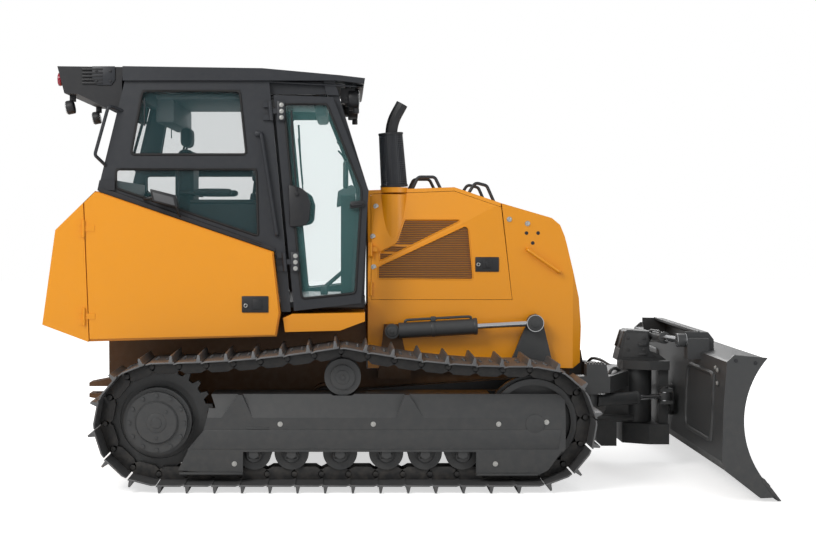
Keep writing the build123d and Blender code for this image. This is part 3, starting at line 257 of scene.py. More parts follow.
CLOTH = finish("seat_cloth", (0.028, 0.029, 0.032), 0.85, 0.15, 0.03, 1500.0, 1.0, 0.0004, Sheen_Weight=0.3)
TRIM_GREY = finish("cab_trim", (0.09, 0.093, 0.098), 0.6, 0.1, 0.03, 800.0, 0.7, 0.0002)
RED_LENS = finish("red_lens", (0.33, 0.012, 0.035), 0.12, 0.05, 0.02, 400.0, 0.1, 0.0001, Coat_Weight=0.6)


def glass_finish(name, color, rough, clear):
    """Tinted see-through glass: mostly alpha, so what lies behind it stays sharp and bright."""
    material = bpy.data.materials.new(name)
    material.use_nodes = True
    shader = material.node_tree.nodes["Principled BSDF"]
    for title, value in (("Base Color", (*color, 1)), ("Roughness", rough), ("Alpha", clear), ("IOR", 1.45)):
        shader.inputs[title].default_value = value
    return material


WINDOW = glass_finish("window_glass", (0.07, 0.17, 0.19), 0.02, 0.12)
DOOR_PANE = glass_finish("door_pane", (0.3, 0.75, 0.75), 0.02, 0.07)
LENS = glass_finish("lamp_glass", (0.9, 0.93, 0.95), 0.05, 0.4)

# %% [markdown]
# Each solid of the frame now gets the finish of its material, except the main frame, whose colour is a painted
# shade. Their shapes stay as they are.

# %% Finishes for the solids
def sides(*names):
    """Names of both twins of each."""
    return [name + side for name in names for side in ("_right", "_left")]


solid_finish = {
    YELLOW: ["rear_housing", "hood_top", "nose", "platform", *sides("rear_door", "engine_door")],
    # painted shade: the yellow main frame is given the dark brown of the shade behind the tracks
    PAINTED_SHADE_FRAME: ["main_frame"],
    CHARCOAL: ["cab_frame", "cab_roof", "grab_rails", "exhaust", "front_grille", *sides("cab_door")],
    SHOE_STEEL: sides("track"),
    CHASSIS_GREY: ["sprockets", "idlers", "rollers", "c_frame", "blade_tower", "blade", "tilt_barrel",
                   *sides("track_frame", "lift_barrel", "angle_barrel")],
    EDGE_STEEL: ["cutting_edge"],
    IRON: ["engine_block"],
    CHROME: ["tilt_rod", *sides("lift_rod", "angle_rod")],
    WINDOW: ["cab_glass"],
    DOOR_PANE: sides("door_glass"),
    BLACK_PLASTIC: ["work_lamps", "consoles", "air_unit"],
    CLOTH: ["seat"],
}
for material, names in solid_finish.items():
    for name in names:
        for slot in nodes[name].material_slots:
            slot.material = material
print("finished solids:", sum(len(names) for names in solid_finish.values()), "of", len(nodes))

# %% [markdown]
# ## A maker's tools
# The same few moves make every piece: put down a block, a rod or a flat outline at its real size,
# extrude, bevel, copy, join. Each is wrapped once here. Every piece ends with its origin at the
# origin of the frame, so its material reads the same coordinates as the solids do.

# %% Blocks, rods and outlines
SMOOTH_ANGLE = radians(35)


def alone(piece):
    """The piece, selected by itself and active."""
    bpy.ops.object.select_all(action="DESELECT")
    piece.select_set(True)
    bpy.context.view_layer.objects.active = piece
    return piece


def settled(piece):
    """Position, turn and scale go into the mesh."""
    alone(piece)
    bpy.ops.object.transform_apply(location=True, rotation=True, scale=True)
    return piece


def softened(piece, width):
    """Bevelled edges, applied, with smooth shading between flat faces."""
    alone(piece)
    if width:
        bevel = piece.modifiers.new("edges", "BEVEL")
        bevel.width = width / 1000
        bevel.segments = 2
        bevel.limit_method = "ANGLE"
        bpy.ops.object.modifier_apply(modifier=bevel.name)
    bpy.ops.object.shade_smooth_by_angle(angle=SMOOTH_ANGLE)
    return piece


def brick(x, y, z, edge=3):
    """Block between pairs of drawing values."""
    low, high = drawn(x[0], y[0], z[0]), drawn(x[1], y[1], z[1])
    bpy.ops.mesh.primitive_cube_add(size=1, location=(low + high) / 2)
    piece = bpy.context.object
    piece.scale = high - low
    return softened(settled(piece), edge)


def rod(start, end, radius, sides=24, edge=0):
    """Round bar between two drawing points."""
    a, b = drawn(*start), drawn(*end)
    bpy.ops.mesh.primitive_cylinder_add(vertices=sides, radius=radius / 1000, depth=(b - a).length,
                                        location=(a + b) / 2,
                                        rotation=(b - a).to_track_quat("Z", "Y").to_euler())
    return softened(settled(bpy.context.object), edge)


def faced_out(piece):
    """Every face turned to look outward."""
    alone(piece)
    bpy.ops.object.mode_set(mode="EDIT")
    bpy.ops.mesh.select_all(action="SELECT")
    bpy.ops.mesh.normals_make_consistent(inside=False)
    bpy.ops.object.mode_set(mode="OBJECT")
    return piece


def plate(outline, y, edge=2):
    """Side-view outline (x, z) extruded across, from the first y to the second."""
    bpy.ops.mesh.primitive_circle_add(vertices=len(outline), radius=1, fill_type="NGON")
    piece = bpy.context.object
    for corner, (x, z) in zip(piece.data.vertices, outline):
        corner.co = drawn(x, y[0], z)
    bpy.ops.object.mode_set(mode="EDIT")
    bpy.ops.mesh.select_all(action="SELECT")
    bpy.ops.mesh.extrude_region_move(TRANSFORM_OT_translate={"value": (0, (y[1] - y[0]) / 1000, 0)})
    bpy.ops.object.mode_set(mode="OBJECT")
    return softened(faced_out(piece), edge)


print("tools: block, rod, outline")

# %% [markdown]
# A bent tube is a line with round corners that is given a thickness. Copies are real meshes, joined
# into one piece, because a hundred bolts are easier to handle as one object than as a hundred.

# %% Tubes, copies and mirrored pieces
BEND_STEPS = 6
BOLT_HEAD, WASHER = 0.62, 0.2       # heights as shares of a bolt's radius


def tube(points, radius, bend=30):
    """Round tube through drawing points, its corners rounded."""
    spots = [drawn(*point) for point in points]
    line = [spots[0]]
    for before, corner, after in zip(spots, spots[1:], spots[2:]):
        near, far = (corner + way.normalized() * min(bend / 1000, way.length / 2)
                     for way in (before - corner, after - corner))
        for step in range(BEND_STEPS + 1):
            t = step / BEND_STEPS
            line.append(near * (1 - t) ** 2 + corner * 2 * t * (1 - t) + far * t ** 2)
    line.append(spots[-1])
    curve = bpy.data.curves.new("tube", "CURVE")
    curve.dimensions = "3D"
    curve.bevel_depth = radius / 1000
    curve.bevel_resolution = 3
    curve.use_fill_caps = True
    spline = curve.splines.new("POLY")
    spline.points.add(len(line) - 1)
    for point, spot in zip(spline.points, line):
        point.co = (*spot, 1)
    piece = bpy.data.objects.new("tube", curve)
    bpy.context.collection.objects.link(piece)
    alone(piece)
    bpy.ops.object.convert(target="MESH")
    return softened(bpy.context.object, 0)


def joined(pieces):
    """Several pieces as one."""
    bpy.ops.object.select_all(action="DESELECT")
    for piece in pieces:
        piece.select_set(True)
    bpy.context.view_layer.objects.active = pieces[0]
    if len(pieces) > 1:
        bpy.ops.object.join()
    return bpy.context.object


def copied(piece, matrix):
    """A copy with its own mesh, moved by a matrix."""
    twin = piece.copy()
    twin.data = piece.data.copy()
    bpy.context.collection.objects.link(twin)
    twin.matrix_world = matrix @ piece.matrix_world
    return settled(twin)


def shifted(x, y, z):
    """Matrix of a move in millimetres."""
    return Matrix.Translation(Vector((x, y, z)) / 1000)


def repeated(piece, shifts):
    """The piece and its copies at the given shifts, as one."""
    return joined([piece] + [copied(piece, shifted(*shift)) for shift in shifts])


def mirrored(piece):
    """A copy on the machine's other side."""
    return faced_out(copied(piece, Matrix.Scale(-1, 4, (0, 1, 0))))


def put(piece, name, finish, body="chassis"):
    """Name, finish and the body it rides on."""
    piece.name = name
    piece.data.materials.clear()
    piece.data.materials.append(finish)
    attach(piece, body)
    return piece


def put_both(piece, name, finish, body="chassis"):
    """The piece and its mirrored twin: one object on the chassis, two on a pair of bodies."""
    twin = mirrored(piece)
    if not body.endswith("_right"):
        return put(joined([piece, twin]), name, finish, body)
    put(piece, name + "_right", finish, body)
    return put(twin, name + "_left", finish, body.replace("_right", "_left"))


def bolts(places, radius, out=(0, -1, 0), sunk=1):
    """Hexagon heads with washers, on a surface that faces along out."""
    heads = []
    way = Vector(out).normalized()
    for place in places:
        foot = Vector(place) - way * sunk
        heads.append(rod(foot, foot + way * (radius * WASHER + sunk), radius * 1.35, 20))
        heads.append(rod(foot, foot + way * (radius * (WASHER + BOLT_HEAD) + sunk), radius, 6, radius * 0.08))
    return joined(heads)


print("tools: tube, joined, repeated, mirrored, bolts")

# %% [markdown]
# ## The tracks
# A track is forty links. Each link has two forged side rails, a pin with its bush, and a shoe with
# one tall grouser bolted on. One link is modelled on its own pin line, then stood on every pin of
# the loop. The loop follows the sprocket, sags over the carrier roller and turns round the idler.

# %% One link
LINK_COUNT = 40
PIN_HEIGHT, SHOE_SEAT, SHOE_PLATE, RAIL_DEPTH = 88, 35, 10, 47
SHOE_HALF = 279
PATH_SPROCKET, PATH_IDLER, IDLER_X = 341, 331, 2368
CARRIER_X, CARRIER_TOP = 1163, 869
TRACK_Y = 890
PATH_STEPS, SAG_STEPS = 60, 40


def pin_line():
    """Close points along the loop: ground, idler, top run, sprocket."""
    def arc(cx, cz, radius, start, end):
        turns = [start + (end - start) * k / PATH_STEPS for k in range(PATH_STEPS)]
        return [(cx + radius * cos(turn), cz + radius * sin(turn)) for turn in turns]

    def sagging(a, b, sag):
        shares = [k / SAG_STEPS for k in range(SAG_STEPS)]
        return [(a[0] + (b[0] - a[0]) * t, a[1] + (b[1] - a[1]) * t - 4 * sag * t * (1 - t)) for t in shares]

    top = (CARRIER_X, CARRIER_TOP)
    return ([(IDLER_X * k / PATH_STEPS, PIN_HEIGHT) for k in range(PATH_STEPS)]
            + arc(IDLER_X, PIN_HEIGHT + PATH_IDLER, PATH_IDLER, -pi / 2, pi / 2)
            + sagging((IDLER_X, PIN_HEIGHT + 2 * PATH_IDLER), top, 36)
            + sagging(top, (0, PIN_HEIGHT + 2 * PATH_SPROCKET), 24)
            + arc(0, PIN_HEIGHT + PATH_SPROCKET, PATH_SPROCKET, pi / 2, 3 * pi / 2))


def pins_of(path, count):
    """Evenly spaced pins along a closed path, and their pitch."""
    spans = [(a, b, hypot(b[0] - a[0], b[1] - a[1])) for a, b in zip(path, path[1:] + path[:1])]
    pitch = sum(span[2] for span in spans) / count
    pins, walked = [], 0
    for a, b, length in spans:
        while len(pins) < count and len(pins) * pitch <= walked + length:
            share = (len(pins) * pitch - walked) / length
            pins.append((a[0] + (b[0] - a[0]) * share, a[1] + (b[1] - a[1]) * share))
        walked += length
    return pins, pitch


PINS, PITCH = pins_of(pin_line(), LINK_COUNT)


def in_pitches(*corners):
    """Corners whose first value is a share of the pitch."""
    return [(share * PITCH, height) for share, height in corners]


def one_shoe():
    """Shoe with its grouser and trailing lip, from pin to pin, drawn below the pin line."""
    seat, face, tip = -SHOE_SEAT, -SHOE_SEAT - SHOE_PLATE, -PIN_HEIGHT + 2
    outline = in_pitches((0.06, seat), (0.9, seat), (1.07, seat + 7), (1.07, face + 9), (0.9, face),
                         (0.245, face), (0.185, tip), (0.115, tip), (0.085, face), (0.045, face - 4),
                         (0.03, face + 4))
    shoe = plate(outline, (-TRACK_Y - SHOE_HALF, -TRACK_Y + SHOE_HALF), 1.5)
    places = [(x * PITCH, -TRACK_Y + y, face) for x in (0.42, 0.82) for y in (-66, -36, 36, 66)]
    return joined([shoe, bolts(places, 9, (0, 0, -1), 0)])


def one_link():
    """Two side rails with their pin bosses, the bush and the pin's ends."""
    top, seat = RAIL_DEPTH, -SHOE_SEAT
    rail = in_pitches((-0.13, 8), (-0.06, 24), (0.10, top - 10), (0.2, top), (0.80, top), (0.9, top - 12),
                      (1.07, 20), (1.12, 0), (1.07, -20), (0.96, seat), (0.08, seat), (-0.06, -24),
                      (-0.13, -8))
    rails = [plate(rail, (-TRACK_Y + y - 15, -TRACK_Y + y + 15), 2) for y in (-56, 56)]
    bush = rod((0, -TRACK_Y - 40, 0), (0, -TRACK_Y + 40, 0), 27, 20)
    pin = rod((0, -TRACK_Y - 80, 0), (0, -TRACK_Y + 80, 0), 17, 20, 2)
    return joined(rails + [bush, pin])


print("track pitch", round(PITCH, 1), "mm")

# %% [markdown]
# The forty places are turned into matrices: each link's first pin sits on its own pin of the loop
# and its second pin points at the next one.

# %% Forty links on each side
def round_loop(piece):
    """Copies of a piece drawn from (0, 0) along +X, stood on every pin of the loop."""
    home = drawn(0, 0, 0)
    copies = []
    for (ax, az), (bx, bz) in zip(PINS, PINS[1:] + PINS[:1]):
        turn = Matrix.Rotation(-atan2(bz - az, bx - ax), 4, "Y")
        place = Matrix.Translation(drawn(ax, 0, az)) @ turn @ Matrix.Translation(-home)
        copies.append(copied(piece, place))
    bpy.data.objects.remove(piece)
    return joined(copies)


shoes = round_loop(one_shoe())
links = round_loop(one_link())
left_shoes, left_links = mirrored(shoes), mirrored(links)
for piece, name, material in ((shoes, "track_shoes_right", SHOE_STEEL),
                              (links, "track_links_right", LINK_STEEL),
                              (left_shoes, "track_shoes_left", SHOE_STEEL),
                              (left_links, "track_links_left", LINK_STEEL)):
    put(piece, name, material)
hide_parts("track_right")
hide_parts("track_left")
print("links on each track:", len(PINS))

# %% [markdown]
# ## The seat
# A machine seat has a deep foam cushion, a tall back with a head restraint and two arm pads, all on
# a suspension box. Foam under cloth is crowned, and its sides pull in at the corners, so each pad
# is blown up a little by a cloth simulation instead of being carved as a block.

# %% Padded cushions
PAD_GRAIN = 0.012           # size of the skin's faces, metres
PAD_SWELL = 0.008           # furthest that the skin may move, metres
PAD_FRAMES = 12
FOAM_PRESSURE = 4


def cushion(name, x, y, z):
    """Pad between drawing values, remeshed, inflated by cloth pressure and held in its size."""
    piece = brick(x, y, z, 28)
    alone(piece)
    remesh = piece.modifiers.new("even skin", "REMESH")
    remesh.mode = "VOXEL"
    remesh.voxel_size = PAD_GRAIN
    bpy.ops.object.modifier_apply(modifier=remesh.name)
    cloth = piece.modifiers.new("foam", "CLOTH")
    cloth.settings.use_pressure = True
    cloth.settings.uniform_pressure_force = FOAM_PRESSURE
    cloth.settings.quality = 4
    cloth.settings.effector_weights.gravity = 0
    held = [v.co.copy() for v in piece.data.vertices]
    for step in range(1, PAD_FRAMES + 1):
        bpy.context.scene.frame_set(step)
    bpy.ops.object.modifier_apply(modifier=cloth.name)
    bpy.context.scene.frame_set(1)
    for vertex, home in zip(piece.data.vertices, held):
        move = vertex.co - home
        if move.length > PAD_SWELL:
            vertex.co = home + move.normalized() * PAD_SWELL
    bpy.ops.object.shade_smooth()
    put(piece, name, CLOTH)
    return piece


PADS = {"seat_cushion": ((140, 590), (-235, 235), (1590, 1690)),
        "seat_back": ((45, 140), (-225, 225), (1700, 2180)),
        "head_restraint": ((50, 125), (-130, 130), (2195, 2330)),
        "arm_pad_right": ((150, 420), (-310, -240), (1860, 1905)),
        "arm_pad_left": ((150, 420), (240, 310), (1860, 1905))}
pads = {name: cushion(name, *size) for name, size in PADS.items()}
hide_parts("seat")
base = joined([brick((170, 530), (-190, 190), (1166, 1540), 20),
               brick((130, 580), (-225, 225), (1535, 1590), 12),
               brick((20, 60), (-170, 170), (1600, 2150), 12)]
              + [rod((60, y, 2150), (80, y, 2215), 8) for y in (-80, 80)]
              + [rod((60, side * 240, 1880), (170, side * 270, 1870), 16) for side in (-1, 1)])
put(base, "seat_base", BLACK_PLASTIC)
print("seat pads:", len(pads))

# %% [markdown]
# ## In the cab
# Two control pods flank the seat, each with a lever, and a slim dash with its screen stands in
# front. They are seen through the glass, so they need their true outline more than fine buttons.

# %% Levers, dash and hood liner
def lever(x, y, z):
    """Gaiter, stick and grip."""
    return joined([rod((x, y, z), (x + 12, y, z + 70), 22, 20, 6),
                   rod((x + 10, y, z + 60), (x + 22, y, z + 160), 11),
                   brick((x, x + 55), (y - 24, y + 24), (z + 150, z + 235), 16)])


levers = joined([lever(560, y, 1800) for y in (-400, 400)]
                + [brick((150, 640), (y - 70, y + 70), (1800, 1830), 12) for y in (-400, 400)])
put(levers, "control_levers", BLACK_PLASTIC)
screen = [(1120, 1780), (1245, 1830), (1255, 1900), (1225, 1935), (1130, 1890)]
dash = joined([plate(screen, (-250, 250), 10)]
              + [rod((1180, y, 1350), (1040, y, 1230), 12) for y in (-90, 90)]
              + [brick((1010, 1060), (y - 40, y + 40), (1180, 1240), 8) for y in (-90, 90)])
put(dash, "dash_and_pedals", TRIM_GREY)
liner = joined([brick((-60, 1050), (-560, 560), (2480, 2520), 14),
                brick((-60, 60), (-560, 560), (2330, 2490), 20),
                brick((980, 1060), (-480, 480), (2380, 2490), 20)])
put(liner, "hood_liner", TRIM_GREY)
print("cab interior pieces: 3")

# %% [markdown]
# ## Cab glass and its seals
# Glass sits in a black rubber strip. A strip is drawn as a tube round the opening's corners, laid
# in the leaning plane of the cab's side, so a helper first turns side-view points into that plane.

# %% Seals, sills and rails on the cab
CAB_HALF, CAB_FOOT, CAB_LEAN = 780, 1130, 2.3


def cab_side(x, z, out=0):
    """Point on the leaning right-hand wall, a distance outside its face."""
    lean = radians(CAB_LEAN)
    return (x, -CAB_HALF + (z - CAB_FOOT) * sin(lean) - out * cos(lean),
            CAB_FOOT + (z - CAB_FOOT) * cos(lean) - out * sin(lean))


def on_cab(points, radius, bend):
    """Tube through points (x, z, out) given on the leaning wall."""
    return tube([cab_side(*point) for point in points], radius, bend)


def strip(outline, radius, out=1.0):
    """Closed strip round an opening in the wall."""
    points = [(x, z, out) for x, z in outline]
    return on_cab(points + points[:2], radius, 25)


UPPER = [(-126, 2525), (501, 2525), (544, 2117), (-198, 2117)]
LOWER = [(-294, 2021), (608, 2021), (620, 1592), (-295, 1900)]
DOOR = [(786, 2440), (1062, 2440), (1285, 1887), (1245, 1225), (901, 1190)]
seals = joined([strip(UPPER, 8), strip(LOWER, 8)])
put_both(seals, "window_seals", RUBBER)
put_both(strip(DOOR, 8, 2), "door_seal", RUBBER, "cab_door_right")

frames = joined([on_cab([(-110, 2300, 14), (-110, 2480, 14)], 4, 1),
                 on_cab([(640, 2250, 4), (640, 2250, 34), (742, 1600, 34), (742, 1600, 4)], 12, 30),
                 brick((600, 645), (-760, -735), (2235, 2262), 4)])
put_both(frames, "pillar_rail", CHARCOAL)
sill = on_cab([(-330, 1878, 6), (640, 1540, 6)], 11, 1)
put_both(sill, "window_sill_bead", BLACK_PLASTIC)
print("seals on each side: 3")

# %% [markdown]
# The door carries a handle, hinge plates with three screws each, and a wiper with its motor cover,
# all of which swing with it. A mirror hangs inside the cab on each side, and a lamp stands out from
# the sill of the right-hand window.

# %% Door furniture
HINGES = ((700, 2395), (790, 1426))


def on_door(outline, thick, out, edge):
    """Flat outline laid on the leaning side, from out to out + thick outside it."""
    piece = plate(outline, (0, thick), edge)
    alone(piece)
    lean = Matrix.Rotation(-radians(CAB_LEAN), 4, "X")
    foot = drawn(0, -CAB_HALF, CAB_FOOT)
    piece.matrix_world = (Matrix.Translation((0, foot.y, foot.z)) @ lean
                          @ Matrix.Translation((0, -(out + thick) / 1000, -foot.z)))
    return settled(piece)


handle = joined([on_door([(1205, 1766), (1300, 1776), (1314, 1796), (1300, 1822), (1212, 1812)], 16, 0, 5),
                 on_cab([(1216, 1790, 10), (1222, 1790, 34), (1290, 1798, 34), (1296, 1798, 10)], 7, 10)])
put_both(handle, "door_handle", BLACK_PLASTIC, "cab_door_right")
cover = on_door([(815, 1925), (896, 1900), (935, 1872), (958, 1800), (950, 1690), (930, 1662), (880, 1650),
                 (823, 1650)], 34, 2, 12)
pivot = rod(cab_side(868, 1868, 20), cab_side(868, 1868, 52), 14, 20, 2)
arm = on_cab([(868, 1868, 44), (850, 2090, 46), (832, 2300, 30)], 5, 40)
rubber = on_cab([(862, 1960, 22), (846, 2150, 24), (834, 2400, 20)], 7, 60)
put_both(joined([cover, pivot, arm, rubber]), "door_wiper", BLACK_PLASTIC, "cab_door_right")
plates = joined([on_door([(x + 42, z - 62), (x + 92, z - 62), (x + 92, z + 62), (x + 42, z + 62)], 7, 20.5, 3)
                 for x, z in HINGES])
screws = bolts([cab_side(x + 70, z + dz, 27) for x, z in HINGES for dz in (-40, 0, 40)], 11)
put_both(plates, "hinge_plates", CHARCOAL, "cab_door_right")
put_both(screws, "hinge_screws", ZINC, "cab_door_right")
mirror = joined([brick((1165, 1200), (-610, -500), (1900, 2080), 14),
                 tube([(1195, -560, 2075), (1165, -590, 2160), (1130, -640, 2200)], 7, 30)])
put_both(mirror, "cab_mirror", BLACK_PLASTIC)
wall = cab_side(25, 1830)[1]
box = plate([(-62, 1893), (103, 1851), (118, 1773), (-44, 1812)], (wall - 125, wall - 45), 9)
face = plate([(-44, 1872), (88, 1838), (98, 1787), (-32, 1821)], (wall - 129, wall - 124), 1)
arm = tube([cab_side(-112, 1830), (-100, wall - 70, 1830), (-30, wall - 80, 1842)], 9, 30)
lead = tube([(90, wall - 60, 1800), (112, wall - 50, 1735), (128, wall - 2, 1700)], 6, 30)
put(joined([box, arm, lead]), "sill_lamp", BLACK_PLASTIC)
put(face, "sill_lamp_face", TRIM_GREY)
print("hinge screws on each door:", 3 * len(HINGES))

# %% [markdown]
# ## Roof, lamps and air unit
# Working lamps hang in pairs under the visor, each a shallow cup with a clear lens. The air unit
# behind the roof has a slatted flank, a red marker lamp at the back and a slotted belly.

# %% Lamps under the visor
LAMP_RADIUS = 62


def lamp(x, y, z):
    """Housing and bracket of a lamp that faces forward from its centre, and its lens of six cells."""
    top = z + LAMP_RADIUS
    body = joined([rod((x - 62, y, z), (x, y, z), LAMP_RADIUS, 32, 8),
                   rod((x - 84, y, z), (x - 60, y, z), LAMP_RADIUS * 0.62, 24, 4),
                   rod((x - 4, y, z), (x + 6, y, z), LAMP_RADIUS + 4, 32, 3),
                   brick((x - 48, x - 16), (y - 12, y + 12), (top - 6, top + 46))])
    cells = [rod((x + 8, y + dy, z + dz), (x + 11, y + dy, z + dz), 15, 16, 1)
             for dy in (-26, 0, 26) for dz in (-20, 20)]
    glass = joined([rod((x + 4, y, z), (x + 9, y, z), LAMP_RADIUS - 6, 32, 3)] + cells)
    return body, glass


visor = [lamp(1262, y, 2484) for y in (-585, -400)]
foot = rod((1250, -585, 2390), (1250, -585, 2424), 20, 20, 4)
cups = joined([body for body, glass in visor] + [foot])
put_both(cups, "visor_lamps", BLACK_PLASTIC)
put_both(joined([glass for body, glass in visor]), "visor_lenses", LENS)
visor_rail = brick((1236, 1296), (-620, 620), (2556, 2566))
put(visor_rail, "visor_rail", BLACK_PLASTIC)
gutter = tube([(-190, -712, 2584), (640, -712, 2588), (1250, -700, 2556)], 7, 60)
put_both(gutter, "roof_gutter", CHARCOAL)
rib_line = [(-150, 2670), (-150, 2686), (600, 2675), (600, 2660)]
ribs = joined([plate(rib_line, (y - 14, y + 14), 3) for y in (-420, -210, 0, 210, 420)])
put(ribs, "roof_ribs", CHARCOAL)
print("visor lamps:", 2 * len(visor))

# %% [markdown]
# Slats are one thin blade repeated at an even pitch. Their ends are tucked into the housing, so
# only the shadow lines between them show.

# %% Air unit
SLATS = 5

slats = repeated(brick((-520, -384), (-703, -680), (2572, 2584)), [(0, 0, 22 * k) for k in range(1, SLATS)])
put_both(slats, "air_unit_slats", BLACK_PLASTIC)
belly = repeated(brick((-520, -505), (-560, 560), (2496, 2506), 2),
                 [(22 * k, 0, -10 * k) for k in range(1, 9)])
put(belly, "air_unit_belly", BLACK_PLASTIC)
outline = [(-453, 2686), (-453, 2600), (-420, 2565), (-330, 2565), (-305, 2600), (-305, 2686)]
put_both(plate(outline, (-700, -690), 3), "air_unit_bracket", CHARCOAL)
bracket_bolts = bolts([(x, -700, z) for x in (-425, -335) for z in (2590, 2655)], 8)
put_both(bracket_bolts, "bracket_bolts", BLACK_PLASTIC)
markers = joined([rod((-690, y, 2610), (-664, y, 2610), 44, 32, 10) for y in (-600, 600)])
put(markers, "rear_marker_lamps", RED_LENS)
cups = [rod((-600, y, 2440), (-650, y, 2430), 46, 28, 6) for y in (-520, 520)]
arms = [brick((-630, -590), (y - 12, y + 12), (2470, 2525)) for y in (-520, 520)]
put(joined(cups + arms), "rear_work_lamps", BLACK_PLASTIC)
lenses = joined([rod((-650, y, 2430), (-656, y, 2429), 40, 28, 2) for y in (-520, 520)])
put(lenses, "rear_work_lenses", LENS)
print("air unit slats:", SLATS)

# %% [markdown]
# ## The engine hood
# The side doors breathe through two fields of thin louvres in a bronze mesh colour. Each field is
# cut from a stack of slats by the outline of its opening, which is what a press tool would do.

# %% Louvres
HOOD_HALF = 462
LOUVRE_PITCH, LOUVRE_STEPS = 12, 10
LOUVRE_FOOT, LOUVRE_HEAD = 9, 6         # kept free below the first slat and above the last
LOUVRE_END, LOUVRE_SHORTEST = 5, 30     # kept free at each end; stubs are left out
FIELDS = [[(1408, 1478), (1496, 1526), (1524, 1553), (1576, 1699), (1940, 1699), (1934, 1684), (1408, 1421)],
          [(1399, 1386), (1399, 1304), (2024, 1300), (2027, 1322), (1996, 1641), (1973, 1655)]]


def fold_y(x, z, depth=0):
    """Face of the door, or a depth behind it: upright below the fold, leaning in above it."""
    above = max(0.0, z - (1354 + 0.515 * (x - 1338)))
    return -HOOD_HALF + depth + 0.2 * above


def span(outline, z):
    """Left and right edges of an outline at a height."""
    hits = []
    for (ax, az), (bx, bz) in zip(outline, outline[1:] + outline[:1]):
        if (az - z) * (bz - z) < 0:
            hits.append(ax + (bx - ax) * (z - az) / (bz - az))
    return sorted(hits)


def louvre(x0, x1, z):
    """Pressed slat: a bar that follows the fold from one edge of its field to the other."""
    line = [x0 + (x1 - x0) * k / LOUVRE_STEPS for k in range(LOUVRE_STEPS + 1)]
    return tube([(x, fold_y(x, z, 7.5), z) for x in line], 3.6, 1)


louvres = []
for outline in FIELDS:
    height = min(z for x, z in outline) + LOUVRE_FOOT
    while height < max(z for x, z in outline) - LOUVRE_HEAD:
        edges = span(outline, height)
        if len(edges) >= 2 and edges[-1] - edges[0] > LOUVRE_SHORTEST:
            louvres.append(louvre(edges[0] + LOUVRE_END, edges[-1] - LOUVRE_END, height))
        height += LOUVRE_PITCH
print("louvres on each door:", len(louvres))
put_both(joined(louvres), "door_louvres", BRONZE, "engine_door_right")

rims = joined([tube([(x, fold_y(x, z, -1), z) for x, z in outline + outline[:2]], 4, 12)
               for outline in FIELDS])
put_both(rims, "louvre_rims", YELLOW, "engine_door_right")
print("louvre fields:", len(FIELDS))

# %% [markdown]
# Bolts, the door latch and its recessed pad are small, but the eye looks for them on a big flat
# panel. Bolt heads are six-sided over a round washer.

# %% Hood bolts and latches
def lock_ring(x, y, z):
    """Thin ring round a key hole."""
    turns = [k * pi / 4 for k in range(10)]
    return tube([(x + 11 * cos(turn), y, z + 11 * sin(turn)) for turn in turns], 3, 4)


hinge_line = bolts([(x, fold_y(x, z), z) for x, z in ((1385, 1786), (1364, 1585), (1368, 1383))], 13)
put_both(hinge_line, "engine_door_bolts", ZINC, "engine_door_right")
pad = joined([brick((2042, 2199), (-470, -461), (1351, 1449), 9),
              brick((2092, 2150), (-476, -468), (1372, 1430), 8),
              brick((2110, 2134), (-483, -472), (1380, 1422), 5),
              rod((2062, -474, 1400), (2062, -466, 1400), 9, 20, 2)])
put_both(pad, "engine_door_latch", BLACK_PLASTIC, "engine_door_right")
nose_bolts = bolts([(2267, -HOOD_HALF, 1699), (2388, -HOOD_HALF, 1671)], 13)
put_both(nose_bolts, "nose_bolts", ZINC)
holes = joined([rod((x, -464.5, z), (x, -461, z), 12, 24, 1)
                for x, z in ((2381, 1608), (2458, 1608), (2423, 1542))])
put_both(holes, "nose_lashing_holes", BLACK_PLASTIC)
rear_latch = joined([brick((520, 690), (-863, -854), (1105, 1210), 9),
                     brick((590, 650), (-869, -860), (1125, 1190), 8),
                     rod((545, -867, 1150), (545, -858, 1150), 9, 20, 2)])
put_both(rear_latch, "rear_door_latch", BLACK_PLASTIC, "rear_door_right")
put_both(lock_ring(2062, -475, 1400), "engine_latch_lock", ZINC, "engine_door_right")
put_both(lock_ring(545, -868, 1150), "rear_latch_lock", ZINC, "rear_door_right")
print("latches on each side: 2")

# %% [markdown]
# ## Exhaust
# The stack stands in a perforated heat guard. The guard starts as a plain cone wall with many
# faces. The middle of every face is inset and removed, which leaves a true mesh of holes.

# %% Perforated guard and stack
STACK_FOOT, GUARD_TOP, STACK_Y = (1508, 1913), (1483, 2276), -343
GUARD_FOOT_RADIUS, GUARD_TOP_RADIUS = 0.0885, 0.0795    # metres, as are the next two
GUARD_WEB, GUARD_SHEET = 0.0036, 0.003
GUARD_COLUMNS, GUARD_ROWS = 36, 26


